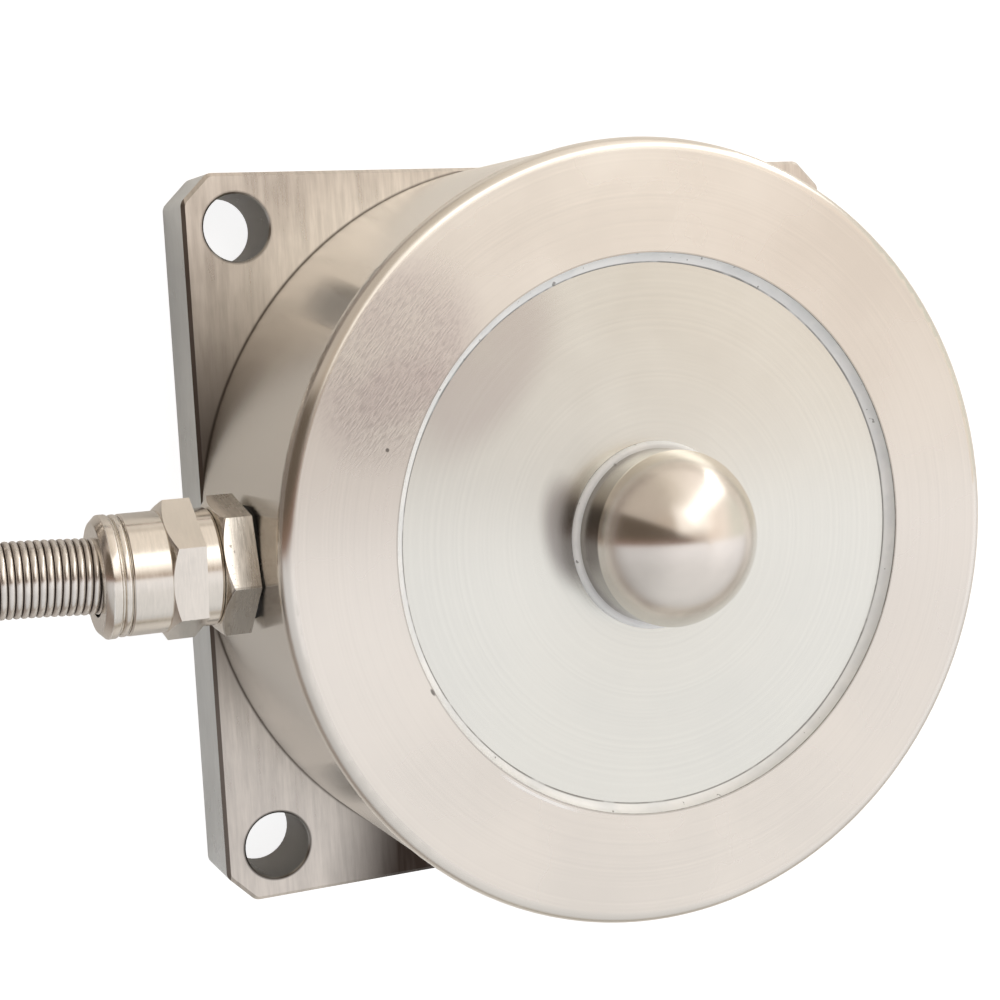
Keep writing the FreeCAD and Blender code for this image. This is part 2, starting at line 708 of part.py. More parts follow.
def make_strain_gauges():
    """Foil gauges on the floors of the round pockets, two on each spoke, one group."""
    body = new_body("strain_gauges")
    half = S["gauge_side"] / 2
    near = GAUGE_RADIUS - half
    far = GAUGE_RADIUS + half
    low = SPOKE_MIDDLE - half
    high = SPOKE_MIDDLE + half
    foils = []
    for side, name in zip(SIDES, ("Near", "Far")):
        sketch = new_sketch(
            body, f"{name}GaugeOutline", "XZ_Plane", GAUGE_FLOOR * side, S["spoke_angle"]
        )
        outline(sketch, [(near, low), (far, low), (far, high), (near, high)])
        foils.append(pad(body, f"{name}Gauge", sketch, S["gauge_thickness"], reverse=side < 0))
    repeat_round(body, "Gauges", foils, SPOKE_COUNT)


def make_ring(name, corners):
    """A ring or disc about the load axis, from its half profile."""
    body = new_body(name)
    sketch = new_sketch(body, "Profile", "XZ_Plane")
    outline(sketch, corners)
    revolve(body, "Turned", sketch)


def make_cover_disc():
    inside = BUTTON_RADIUS + S["button_hole_gap"]
    outside = RECESS_RADIUS - S["cover_gap"]
    make_ring(
        "cover_disc",
        [(inside, COVER_SEAT), (outside, COVER_SEAT), (outside, COVER_TOP), (inside, COVER_TOP)],
    )


def make_outer_seal_bead():
    """Silicone fillet from the ring down to the cover disc, slightly hollow."""
    width = S["seal_toe"]
    rise = S["cover_sink"] - S["seal_top_gap"]
    toe = RECESS_RADIUS - width
    top = COVER_TOP + rise
    chord = root(width * width + rise * rise)
    bend = chord * 1.2
    hollow = root(bend * bend - chord * chord / 4)
    centre_x = (toe + RECESS_RADIUS) / 2 - hollow * rise / chord
    centre_y = (COVER_TOP + top) / 2 + hollow * width / chord
    make_ring(
        "outer_seal_bead",
        [
            Arc(toe, COVER_TOP, (centre_x, centre_y), bend, -1),
            (RECESS_RADIUS, COVER_TOP),
            (RECESS_RADIUS, top),
        ],
    )


def make_button_seal_bead():
    toe = BUTTON_RADIUS + S["button_seal_toe"]
    rise = S["button_seal_height"]
    shoulder = toe - rise
    make_ring(
        "button_seal_bead",
        [
            (BUTTON_RADIUS, COVER_TOP),
            (toe, COVER_TOP),
            Arc(shoulder, COVER_TOP + rise, (shoulder, COVER_TOP), rise, 1),
            (BUTTON_RADIUS, COVER_TOP + rise),
        ],
    )


def make_load_button():
    """Domed button whose threaded stem sits in the hub."""
    dome = S["dome_height"]
    edge = COVER_TOP + S["button_land"]
    pole = edge + dome
    dome_radius = (BUTTON_RADIUS * BUTTON_RADIUS + dome * dome) / (dome * 2)
    stem = STEM_HOLE_RADIUS - S["thread_gap"]
    stem_end = COVER_SEAT - S["stem_length"]
    make_ring(
        "load_button",
        [
            (0, stem_end),
            (stem - S["stem_chamfer"], stem_end),
            (stem, stem_end + S["stem_chamfer"]),
            (stem, COVER_SEAT),
            (BUTTON_RADIUS, COVER_SEAT),
            (BUTTON_RADIUS, edge),
            Arc(0, pole, (0, pole - dome_radius), dome_radius, 1),
        ],
    )


def make_lower_cover_disc():
    bottom = LOWER_SEAT - S["lower_cover_thickness"]
    outside = LOWER_RECESS_RADIUS - S["slip_gap"]
    make_ring(
        "lower_cover_disc",
        [(0, bottom), (outside, bottom), (outside, LOWER_SEAT), (0, LOWER_SEAT)],
    )


def make_base_gasket():
    """Squeezed ring between the drum and the plate, flat where it seals."""
    flank = S["gasket_groove_depth"] / 2
    reach = S["gasket_groove_width"] / 2 - S["gasket_side_gap"] - flank
    inside = GASKET_RADIUS - reach
    outside = GASKET_RADIUS + reach
    middle = PLATE_TOP + flank
    top = middle + flank
    make_ring(
        "base_gasket",
        [
            (outside, PLATE_TOP),
            Arc(outside + flank, middle, (outside, middle), flank, 1),
            Arc(outside, top, (outside, middle), flank, 1),
            (inside, top),
            Arc(inside - flank, middle, (inside, middle), flank, 1),
            Arc(inside, PLATE_TOP, (inside, middle), flank, 1),
        ],
    )


def make_gland_washer():
    """Rubber washer, flat against the gland and pressed to the drum's curve on its other side."""
    body = gland_piece("gland_washer")
    sketch = new_sketch(body, "WasherOutline", "YZ_Plane", CAVITY_RADIUS)
    circle(sketch, 0, 0, S["washer_d"] / 2)
    circle(sketch, 0, 0, S["gland_thread_d"] / 2)
    pad(body, "WasherBlank", sketch, WASHER_FACE - CAVITY_RADIUS)
    sketch = new_sketch(body, "DrumCurve", "XY_Plane", -S["washer_d"])
    circle(sketch, 0, 0, DRUM_RADIUS)
    pocket(body, "DrumCut", sketch, reverse=True)


def turn_on_gland(body, corners):
    """Turns a piece about the gland's axis. Each corner is a station and a radius."""
    sketch = new_sketch(body, "Profile", "XZ_Plane")
    outline(sketch, corners)
    revolve(body, "Turned", sketch, "H_Axis")


def mill_hexagon(body, start, length, turn):
    """Mills a turned collar down to its hexagon."""
    sketch = new_sketch(body, "HexagonOutline", "YZ_Plane", start)
    circle(sketch, 0, 0, S["hex_flats"])
    outline(sketch, hexagon(HEX_CORNER_RADIUS, turn))
    pocket(body, "Hexagon", sketch, length, reverse=True)


def make_gland_body():
    """Thread in the drum's wall, hexagon, and a nose that takes the grommet."""
    body = gland_piece("gland_body")
    inner_end = WASHER_FACE - S["gland_thread_length"]
    thread = S["gland_thread_d"] / 2 - S["thread_gap"]
    nose = S["nose_d"] / 2 - S["thread_gap"]
    seat = S["grommet_seat_d"] / 2
    turn_on_gland(
        body,
        [
            (inner_end, CABLE_BORE),
            (GROMMET_SEAT, CABLE_BORE),
            (GROMMET_SEAT, seat),
            (NOSE_END, seat),
            (NOSE_END, nose),
            (BODY_END, nose),
            (BODY_END, S["hex_flats"] / 2),
            (BODY_END - S["hex_chamfer"], HEX_CORNER_RADIUS),
            (WASHER_FACE, HEX_CORNER_RADIUS),
            (WASHER_FACE, thread),
            (inner_end, thread),
        ],
    )
    mill_hexagon(body, WASHER_FACE, S["body_hex_length"], -S["body_hex_turn"])


def make_gland_nut():
    """Collar, hexagon and sleeve turned from one hexagon bar."""
    body = gland_piece("gland_nut")
    collar = S["nut_collar_d"] / 2
    sleeve = S["sleeve_d"] / 2
    thread = S["nose_d"] / 2
    neck = S["nut_neck_d"] / 2
    counterbore = S["spigot_d"] / 2
    edge = S["sleeve_break"]
    turn_on_gland(
        body,
        [
            (NUT_START, thread),
            (CLAMP_END, thread),
            (CLAMP_END, neck),
            (NECK_END, neck),
            (NECK_END, counterbore),
            (SLEEVE_END, counterbore),
            (SLEEVE_END, sleeve - edge),
            (SLEEVE_END - edge, sleeve),
            (NUT_HEX_END, sleeve),
            (NUT_HEX_END, S["hex_flats"] / 2),
            (NUT_HEX_END - S["hex_chamfer"], HEX_CORNER_RADIUS),
            (COLLAR_END, HEX_CORNER_RADIUS),
            (COLLAR_END, collar),
            (NUT_START + edge, collar),
            (NUT_START, collar - edge),
        ],
    )
    mill_hexagon(body, COLLAR_END, S["nut_hex_length"], -S["nut_hex_turn"])


def make_gland_ring(name, start, end, inside, outside):
    body = gland_piece(name)
    turn_on_gland(body, [(start, inside), (end, inside), (end, outside), (start, outside)])


def make_conduit_adaptor():
    """Turned end piece: spigot in the nut, narrow ring, groove, and chamfered end ring."""
    body = gland_piece("conduit_adaptor")
    spigot = S["spigot_d"] / 2 - S["thread_gap"]
    sleeve = S["sleeve_d"] / 2
    end_ring = S["end_ring_d"] / 2
    groove_floor = sleeve - S["ring_groove_depth"]
    socket = S["socket_d"] / 2
    edge = S["sleeve_break"]
    chamfer = S["end_ring_chamfer"]
    turn_on_gland(
        body,
        [
            (NECK_END, CABLE_BORE),
            (SOCKET_FLOOR, CABLE_BORE),
            (SOCKET_FLOOR, socket),
            (GLAND_END, socket),
            (GLAND_END, end_ring - chamfer),
            (GLAND_END - chamfer, end_ring),
            (END_RING_START + edge, end_ring),
            (END_RING_START, end_ring - edge),
            (END_RING_START, groove_floor),
            (BEAD_END, groove_floor),
            (BEAD_END, sleeve - edge),
            (BEAD_END - edge, sleeve),
            (ADAPTOR_START + edge, sleeve),
            (ADAPTOR_START, sleeve - edge),
            (ADAPTOR_START, spigot),
            (NECK_END, spigot),
        ],
    )


def make_terminal_board():
    board = DOC.addObject("Part::Box", "terminal_board")
    board.Label = "terminal_board"
    board.setExpression("Length", S["board_width"].text)
    board.setExpression("Width", S["board_length"].text)
    board.setExpression("Height", S["board_thickness"].text)
    board.setExpression("Placement.Base.x", (-BOARD_RADIUS - S["board_width"] / 2).text)
    board.setExpression("Placement.Base.y", (-S["board_length"] / 2).text)
    board.setExpression("Placement.Base.z", LOWER_SEAT.text)
    PARTS.append(board)


def make_bridge_resistors():
    """Three chip resistors side by side on the board, one group."""
    body = new_body("bridge_resistors")
    sketch = new_sketch(body, "ResistorOutlines", "XY_Plane", BOARD_TOP)
    near = -BOARD_RADIUS - S["board_width"] / 2 + S["resistor_inset"]
    far = near + S["resistor_length"]
    for place in (-1, 0, 1):
        low = S["resistor_pitch"] * place - S["resistor_width"] / 2
        high = low + S["resistor_width"]
        outline(sketch, [(near, low), (far, low), (far, high), (near, high)])
    pad(body, "Resistors", sketch, S["resistor_thickness"])


def make_cable_cores():
    """The cable's four cores, from its stripped end down to the board, one group."""
    body = new_body("cable_cores")
    sketch = new_sketch(body, "CoreOutlines", "XY_Plane", BOARD_TOP)
    reach = S["core_circle_d"] / 2
    for quarter in range(4):
        angle = 45 + 90 * quarter
        circle(sketch, reach * cosine(angle) - CABLE_FOOT, reach * sine(angle), S["core_d"] / 2)
    pad(body, "Cores", sketch, S["cable_strip_height"])


def make_end_ferrule(start):
    """Crimped sleeve over the conduit's free end, with a bore for the cable."""
    body = new_body("end_ferrule")
    socket = CONDUIT_RADIUS + S["slip_gap"]
    mouth = -S["ferrule_socket_depth"]
    shoulder = S["ferrule_length"] - S["ferrule_taper"]
    crimp = FERRULE_RADIUS - S["crimp_depth"]
    crimp_start = mouth + S["crimp_width"]
    crimp_end = crimp_start + S["crimp_width"]
    edge = S["sleeve_break"]
    sketch = new_sketch(body, "Profile", "XZ_Plane")
    outline(
        sketch,
        [
            (0, CABLE_BORE),
            (S["ferrule_length"], CABLE_BORE),
            (S["ferrule_length"], S["ferrule_neck_d"] / 2),
            (shoulder, FERRULE_RADIUS),
            (crimp_end + edge, FERRULE_RADIUS),
            (crimp_end, crimp),
            (crimp_start, crimp),
            (crimp_start - edge, FERRULE_RADIUS),
            (mouth, FERRULE_RADIUS),
            (mouth, socket),
            (0, socket),
        ],
    )
    revolve(body, "Turned", sketch, "H_Axis")
    body.Placement = Placement(start, Rotation())


def make_shape(name, shape):
    """A piece whose shape is worked out from the sheet's sizes."""
    feature = DOC.addObject("Part::Feature", name)
    feature.Label = name
    feature.Shape = shape
    PARTS.append(feature)


def polar(radius, angle, height):
    turn = math.radians(angle)
    return Vector(radius * math.cos(turn), radius * math.sin(turn), height)


def make_gauge_wires():
    """Bundle that runs round the hub on the lower cover disc, with a riser to each gauge."""
    bundle = S["harness_d"].value / 2
    riser = S["riser_d"].value / 2
    level = LOWER_SEAT.value + bundle
    top = SPOKE_MIDDLE.value
    beside = HALF_SPOKE.value + S["riser_gap"].value + riser
    gauge_face = GAUGE_FLOOR.value + S["gauge_thickness"].value
    radius = math.hypot(GAUGE_RADIUS.value, beside)
    half_board = S["board_length"].value / 2 + S["slip_gap"].value
    board_angle = math.degrees(math.asin(half_board / (radius - bundle)))
    up = Vector(0, 0, 1)
    harness = Part.makeTorus(radius, bundle, Vector(), up, 0, 360, 360 - 2 * board_angle)
    harness.rotate(Vector(), up, 180 + board_angle)
    harness.translate(up * level)
    pieces = []
    for spoke in range(SPOKE_COUNT):
        angle = S["spoke_angle"].value + 360 * spoke / SPOKE_COUNT
        for side in SIDES:
            out = polar(1, angle + 90 * side, 0)
            foot = polar(GAUGE_RADIUS.value, angle, level) + out * beside
            elbow = foot + up * (top - level)
            pieces.append(Part.makeCylinder(riser, top - level, foot, up))
            pieces.append(Part.makeSphere(riser, elbow))
            pieces.append(Part.makeCylinder(riser, beside - gauge_face, elbow, out * -1))
    make_shape("gauge_wires", harness.fuse(pieces).removeSplitter())


def pipe(path, radius, start, direction):
    """A round tube along a path, its volume compared with its section times its length."""
    section = Part.Wire([Part.makeCircle(radius, start, direction)])
    shape = path.makePipeShell([section], True, True)
    expected = math.pi * radius * radius * path.Length
    if abs(shape.Volume - expected) > 0.01 * expected:
        raise RuntimeError(f"tube volume {shape.Volume:.0f}, expected {expected:.0f}")
    return shape


def rounded_route(points, name):
    """Straight runs joined by tangent arcs, each as large as its two runs allow."""
    edges = []
    radii = []
    last = points[0]
    for before, corner, after in zip(points, points[1:], points[2:]):
        run_in = corner - before
        run_out = after - corner
        half_turn = run_in.getAngle(run_out) / 2
        reach = 0.45 * min(run_in.Length, run_out.Length)
        radius = reach / math.tan(half_turn)
        radii.append(round(radius, 1))
        run_in.normalize()
        run_out.normalize()
        to_centre = (run_out - run_in).normalize()
        middle = corner + to_centre * (radius / math.cos(half_turn) - radius)
        arc_start = corner - run_in * reach
        arc_end = corner + run_out * reach
        edges.append(Part.LineSegment(last, arc_start).toShape())
        edges.append(Part.Arc(arc_start, middle, arc_end).toShape())
        last = arc_end
    edges.append(Part.LineSegment(last, points[-1]).toShape())
    path = Part.Wire(edges)
    print(f"{name}: length {path.Length:.1f} mm, radii {radii}")
    return path


def cord(name, points, radius):
    path = rounded_route(points, name)
    return pipe(path, radius, points[0], points[1] - points[0])


def make_signal_cable():
    """The cable from the conduit's socket through the gland, bent down to the board."""
    height = S["gland_height"].value
    bend = S["cable_bend"].value
    foot_x = -CABLE_FOOT.value
    strip = BOARD_TOP.value + S["cable_strip_height"].value
    start = Vector(-SOCKET_FLOOR.value, 0, height)
    bend_start = Vector(foot_x - bend, 0, height)
    bend_end = Vector(foot_x, 0, height - bend)
    centre = Vector(foot_x - bend, 0, height - bend)
    middle = centre + Vector(math.sin(math.pi / 4), 0, math.cos(math.pi / 4)) * bend
    path = Part.Wire(
        [
            Part.LineSegment(start, bend_start).toShape(),
            Part.Arc(bend_start, middle, bend_end).toShape(),
            Part.LineSegment(bend_end, Vector(foot_x, 0, strip)).toShape(),
        ]
    )
    make_shape("signal_cable", pipe(path, CABLE_RADIUS.value, start, Vector(1, 0, 0)))


def make_conduit():
    """The conduit from its socket to the coil, and the coil as one solid of its outer shape.

    The coil's upper layer winds inwards and its lower one outwards. Its free end is returned.
    """
    radius = CONDUIT_RADIUS.value
    width = radius * 2
    inner = S["coil_inner_d"].value / 2
    top_radius = inner + width * COIL_TOP_TURNS
    low_radius = S["coil_low_d"].value / 2 + width * COIL_LOWER_TURNS
    centre = Vector(S["coil_x"].value, S["coil_y"].value, 0)
    landing = centre + polar(top_radius, COIL_LANDING_ANGLE, COIL_LANDING_HEIGHT)
    leaving = centre + Vector(0, low_radius, FERRULE_RADIUS.value)
    start = Vector(-SOCKET_FLOOR.value, 0, S["gland_height"].value)
    route = [start + Vector(*offset) for offset in CONDUIT_ROUTE]
    before, after = route[:POINTS_BEFORE_COIL], route[POINTS_BEFORE_COIL:]
    joint = (before[-1] + after[0]) / 2

    tube = cord("steel_conduit", [*before, joint], radius)
    past_floor = Part.makeBox(width, 2 * width, 2 * width, start - Vector(0, width, width))
    make_shape("steel_conduit", tube.cut(past_floor))

    ring = Part.makeCylinder(top_radius + radius, 2 * width, centre)
    ring = ring.cut(Part.makeCylinder(inner - radius, 2 * width, centre))
    corners = [edge for edge in ring.Edges if isinstance(edge.Curve, Part.Circle)]
    ring = ring.makeFillet(S["coil_edge_round"].value, corners)
    exit_length = S["exit_stub"].value
    lead_in = cord("conduit_coil", [joint, *after, landing], radius)
    lead_out = Part.makeCylinder(radius, exit_length, leaving, Vector(1, 0, 0))
    make_shape("conduit_coil", ring.fuse([lead_in, lead_out]).removeSplitter())
    return leaving + Vector(exit_length, 0, 0)


def make_free_end(start):
    """Ferrule on the conduit's end, the cable's bare end, its four leads and the shield drain."""
    make_end_ferrule(start)
    tail = [start + Vector(*offset) for offset in TAIL_ROUTE]
    make_shape("cable_tail", cord("cable_tail", tail, CABLE_RADIUS.value))
    tip_radius = S["lead_tip_d"].value / 2
    for name, route in LEAD_ROUTES.items():
        points = [tail[-1] + Vector(*offset) for offset in route]
        lead = cord(name, points, S["lead_d"].value / 2)
        direction = points[-1] - points[-2]
        tip = Part.makeCylinder(tip_radius, S["lead_tip_length"].value, points[-1], direction)
        make_shape(name, lead.fuse(tip).removeSplitter())
    points = [tail[-1] + Vector(*offset) for offset in DRAIN_ROUTE]
    make_shape("shield_drain", cord("shield_drain", points, tip_radius))


def export_parts():
    for item in DOC.Objects:
        if "Invalid" in item.State or "Error" in item.State:
            raise RuntimeError(f"{item.Name} failed: {item.State}")
    for part in PARTS:
        shape = part.Shape
        if shape.isNull() or not shape.isValid() or not shape.Solids:
            raise RuntimeError(f"{part.Label} has no valid solid")
        print(f"{part.Label}: {len(shape.Solids)} solid(s), {shape.Volume:.1f} mm3")
    os.makedirs("parts", exist_ok=True)
    for part in PARTS:
        part.Shape.exportStep(f"parts/{part.Label}.step")


def main():
    make_base_plate()
    make_base_screws()
    make_base_gasket()
    make_sensing_body()
    make_strain_gauges()
    make_gauge_wires()
    make_lower_cover_disc()
    make_terminal_board()
    make_bridge_resistors()
    make_cable_cores()
    make_cover_disc()
    make_outer_seal_bead()
    make_load_button()
    make_button_seal_bead()
    make_gland_washer()
    make_gland_body()
    cable = CABLE_RADIUS + S["thread_gap"]
    seat = S["grommet_seat_d"] / 2 - S["thread_gap"]
    make_gland_ring("cable_grommet", GROMMET_SEAT, GROMMET_END, cable, seat)
    nose = S["nose_d"] / 2 - S["slip_gap"]
    make_gland_ring("clamp_ring", GROMMET_END, CLAMP_END, CABLE_BORE, nose)
    make_gland_nut()
    make_conduit_adaptor()
    make_signal_cable()
    make_free_end(make_conduit())
    DOC.recompute()
    export_parts()


main()
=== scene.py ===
import math

import bmesh
import bpy
from bpy.props import FloatProperty, FloatVectorProperty, IntProperty, PointerProperty
from mathutils import Matrix, Vector, noise


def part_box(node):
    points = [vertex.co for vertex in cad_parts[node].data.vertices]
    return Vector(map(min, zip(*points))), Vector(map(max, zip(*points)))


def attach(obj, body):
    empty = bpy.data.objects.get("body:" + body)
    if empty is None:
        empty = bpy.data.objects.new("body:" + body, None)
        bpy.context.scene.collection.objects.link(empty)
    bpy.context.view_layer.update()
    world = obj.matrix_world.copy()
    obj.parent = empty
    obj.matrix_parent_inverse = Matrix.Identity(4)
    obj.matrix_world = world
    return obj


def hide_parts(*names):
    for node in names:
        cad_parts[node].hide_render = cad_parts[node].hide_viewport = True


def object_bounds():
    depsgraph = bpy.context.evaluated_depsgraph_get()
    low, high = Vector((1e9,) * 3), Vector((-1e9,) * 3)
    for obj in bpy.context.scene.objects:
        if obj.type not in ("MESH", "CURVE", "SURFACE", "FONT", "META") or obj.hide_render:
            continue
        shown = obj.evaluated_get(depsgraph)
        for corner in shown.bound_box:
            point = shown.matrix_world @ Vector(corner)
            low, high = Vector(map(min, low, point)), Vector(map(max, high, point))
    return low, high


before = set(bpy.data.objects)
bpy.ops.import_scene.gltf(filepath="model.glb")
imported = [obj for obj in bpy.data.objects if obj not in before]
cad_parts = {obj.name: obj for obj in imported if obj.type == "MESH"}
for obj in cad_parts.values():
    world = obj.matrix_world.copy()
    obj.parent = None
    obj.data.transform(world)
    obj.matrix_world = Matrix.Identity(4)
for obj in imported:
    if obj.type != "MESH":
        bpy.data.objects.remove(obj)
CAD_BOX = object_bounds()

bl_info = {
    "name": "Load Cell Finish",
    "version": (1, 0, 0),
    "blender": (4, 5, 0),
    "location": "3D View > Sidebar > Load Cell",
    "description": "Finishes, seals, conduit and cable of a compression load cell",
    "category": "Object",
}

MM = 0.001
BODY = "root"
FULL_TURN = 2 * math.pi
UP = Vector((0, 0, 1))

# Heights and radii, read from the frame
PLATE_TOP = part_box("base_plate")[1].z
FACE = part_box("sensing_body")[1].z
RIM_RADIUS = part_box("sensing_body")[1].y
COVER_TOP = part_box("cover_disc")[1].z
BUTTON_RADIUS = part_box("load_button")[1].x
BUTTON_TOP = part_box("load_button")[1].z
SEAL_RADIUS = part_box("outer_seal_bead")[1].x
BUTTON_BEAD_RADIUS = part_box("button_seal_bead")[1].x
WASHER_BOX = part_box("gland_washer")
GLAND_HEIGHT = (WASHER_BOX[0].z + WASHER_BOX[1].z) / 2
NUT_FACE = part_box("gland_nut")[1].x

# Sizes of the CAD model that the boxes of its nodes don't give
DOME_HEIGHT = 8.1 * MM
DRUM_RADIUS = 49.85 * MM
HOLE_PLACE = 42.2 * MM
HOLE_RADIUS = 4.5 * MM
RING_FACE = -65.25 * MM

# What the gland's own pieces change: a thinner and smaller washer, and a tighter bore
WASHER_LIFT = 0.25 * MM
WASHER_SCALE = 0.83
HEXAGON_FOOT = 0.8 * MM
HEXAGON_RADIUS = 7.4 * MM
NUT_SETBACK = 0.14 * MM
RING_SETBACK = 0.12 * MM
RING_RADIUS = 6.2 * MM
TIGHT_BORE = (4.9 * MM, 5.3 * MM, 4.76 * MM)

# How a copied CAD node is merged, flattened, eased and shaded
MERGE_DISTANCE = 0.001 * MM
MOVE_MARGIN = 0.01 * MM
FLAT_ANGLE = math.radians(0.6)
SHARP_ANGLE = math.radians(24)
EASED_ANGLE = math.radians(32)

# The silicone beads
BEAD_SIDES = 360
BEAD_STEPS = 8
FILLET_REACH = 1.2 * MM
FILLET_DROP = 0.12 * MM
FILLET_HOLLOW = 0.22 * MM
FILLET_LEAN = 0.7
BEAD_RISE = 0.65 * MM
BEAD_FOOT = 0.05 * MM
BROAD_SWELL, FINE_SWELL = 120, 500
BEAD_ANGLE = math.radians(50)

# The conduit's route, as the CAD model has it
CONDUIT_START = Vector((-65.55, 0, 30.4)) * MM
CONDUIT_ROUTE = [
    (0, 0, 0), (-10.45, 0.8, -0.1), (-21.45, 0.8, -0.3), (-33.65, -3.2, -1.3),
    (-44.25, -11.2, -3.4), (-53.05, -21.4, -6.6), (-63.85, -29.8, -10.5), (-76.65, -33.7, -14.4)
]
COIL_CENTRE = Vector((-148, 31, 0)) * MM
COIL_TOP_RADIUS = 41 * MM
COIL_LOWER_RADIUS = 39.5 * MM
COIL_TOP_TURNS = 2.5
COIL_DROP_TURNS = 0.11
COIL_LOWER_TURNS = 2.89
COIL_TOP_HEIGHT = 13.95 * MM
COIL_LOWER_HEIGHT = 4.65 * MM
COIL_POINTS_A_TURN = 24
FREE_END_HEIGHT = 5.6 * MM
EXIT_STUB = 42 * MM

# A ridge from gap to gap, as shares of the pitch and of the groove's depth
FINE_RIDGE = [
    (0.0, 1.0), (0.04, 0.72), (0.12, 0.36), (0.22, 0.15), (0.35, 0.04), (0.5, 0.0),
    (0.65, 0.04), (0.78, 0.15), (0.88, 0.36), (0.96, 0.72)
]
PLAIN_RIDGE = [(0.0, 1.0), (0.5, 0.0)]
RIDGE_ANGLE = math.radians(89)

# Widths and real lengths of the cords
TAIL_WIDTH, TAIL_LENGTH = 5 * MM, 0.0582
LEAD_WIDTH, LEAD_LENGTH = 1.4 * MM, 0.0445
DRAIN_WIDTH, DRAIN_LENGTH = 0.8 * MM, 0.0354

# The cable's bare end, as offsets from the middle of the end of the piece before
TAIL_ROUTE = [(0, 0, 0), (20, 0, 0), (39, -8.5, -3.1), (57, -8.5, -3.1)]
LEAD_ROUTES = {
    "lead_red": [
        (0, -0.85, 0.85), (8, -0.85, 0.85), (17, -3.6, -0.6), (30, -8.0, -1.8), (42, -12.0, -1.8)
    ],
    "lead_black": [
        (0, 0.85, 0.85), (8, 0.85, 0.85), (17, 3.4, -0.4), (29, 9.5, -1.8), (43, 13.0, -1.8)
    ],
    "lead_green": [
        (0, -0.85, -0.85), (8, -0.85, -0.85), (18, -1.7, -1.8), (31, -4.8, -1.8), (43, -5.4, -1.8)
    ],
    "lead_white": [
        (0, 0.85, -0.85), (7.5, 0.85, -0.85), (17, 2.0, -1.8), (30, 3.4, -1.8), (44, 6.0, -1.8)
    ],
}
DRAIN_ROUTE = [(0, 0, 1.95), (7, 0, 1.95), (16, 0.2, -0.4), (26, -0.7, -2.1), (35, -0.9, -2.1)]
LEAD_COLOURS = {
    "lead_red": (0.62, 0.05, 0.04),
    "lead_black": (0.03, 0.03, 0.03),
    "lead_green": (0.04, 0.33, 0.11),
    "lead_white": (0.8, 0.79, 0.76),
}

# Finish, colour and roughness of the nodes inside the drum
INSIDE = {
    "strain_gauges": ("gauge_foil", (0.72, 0.48, 0.16), 0.3),
    "gauge_wires": ("wire_enamel", (0.5, 0.14, 0.07), 0.3),
    "terminal_board": ("board_laminate", (0.06, 0.26, 0.12), 0.35),
    "bridge_resistors": ("resistor_ceramic", (0.05, 0.05, 0.06), 0.4),
    "cable_cores": ("core_insulation", (0.75, 0.2, 0.12), 0.45),
    "signal_cable": ("inner_sheath", (0.16, 0.16, 0.17), 0.5),
}

# Marks, and the place of the button's painted shadow, on the ring and the cover disc: middle and
# reach in millimetres, turn in degrees
MARKS = {
    "rubbed place": ((-34.2, 24, 47.2), (15.5, 11.5, 9), 58),
    "smudge": ((-33.8, 20.6, 47.2), (7.5, 5, 9), 20),
    "nick": ((-32.1, -15.9, 47.2), (0.3, 0.65, 1), 28),
    "dot": ((-36.1, 13.7, 47.2), (0.32, 0.32, 1), 0),
    "silicone smear": ((-18.8, -30.8, 47.2), (7, 3, 2), -31),
    "cover smear": ((-23, 22.5, 45.8), (17, 9, 9), 48),
    "button shadow place": ((-12.6, 1.6, 45.8), (4.2, 8.5, 4), 6),
}
SCUFF_SLANT = math.radians(-48)

# The direction that the flat of the gland's hexagon with painted shade faces
HEXAGON_UNDERSIDE = (0, -0.695, 0.719)

# Colours of painted shade and painted shadow lines, of wear, grime and marks, and of surfaces that
# aren't a piece's main one
PLATE_PAINTED_SHADE = (0.035, 0.025, 0.02)
FOOT_LINE = (0.06, 0.045, 0.035)
EDGE_LINE = (0.09, 0.065, 0.05)
PLATE_SIDE_DARK, PLATE_SIDE_PALE = (0.64, 0.66, 0.66), (0.78, 0.8, 0.8)
BORE_SHADE_LOW, BORE_SHADE_HIGH = (0.5, 0.48, 0.45), (0.34, 0.325, 0.3)
BORE_RIM_SHADE = (0.1, 0.09, 0.08)
PIT = (0.1, 0.09, 0.08)
DULL_PLATING = (0.58, 0.51, 0.49)
SCUFF = (0.3, 0.25, 0.24)
BRINK_LINE = (0.36, 0.34, 0.31)
DRIED_SILICONE = (0.95, 0.95, 0.94)
COVER_SMEAR = (0.55, 0.5, 0.48)
COVER_BUTTON_SHADOW = (0.2, 0.17, 0.165)
FLECK = (0.2, 0.18, 0.16)
BARE_EDGE = (0.93, 0.91, 0.86)
CONDUIT_GAP_SHADE = (0.22, 0.182, 0.16)
SILICONE_DARK, SILICONE_PALE = (0.84, 0.86, 0.86), (0.93, 0.94, 0.93)
SEAL_LINE = (0.24, 0.24, 0.23)
SPECK = (0.15, 0.14, 0.13)

# The camera stands above the gland's side and looks down on the button
CAMERA_PLACE = Vector((-110.84, 29.39, 253.23)) * MM
CAMERA_AIM = Vector((0.39395, -0.10138, -0.91352))
CAMERA_UP = Vector((0.08878, 0.99345, -0.07196))
SENSOR_WIDTH = 36

# The lamp that stands for a window
WINDOW_PLACE = Vector((0.73, 0.68, 0.09)) * 0.8
WINDOW_SIZE = (0.12, 0.16)
WINDOW_COLOUR = (1.0, 0.98, 0.95)

# The floor, and the table that the metal mirrors in its place, from near to far and at the left
FLOOR_REACH = 3.0
FLOOR_GAP = 0.02 * MM
TABLE_STOPS = (
    (0.1, (0.55, 0.5, 0.43)), (0.16, (0.26, 0.23, 0.18)), (0.25, (0.26, 0.23, 0.18)),
    (0.42, (0.9, 0.9, 0.88)), (0.57, (0.92, 0.9, 0.85)), (0.8, (0.68, 0.63, 0.56)),
)
TABLE_LEFT = (0.24, 0.19, 0.16)
TABLE_GLOW = 0.1

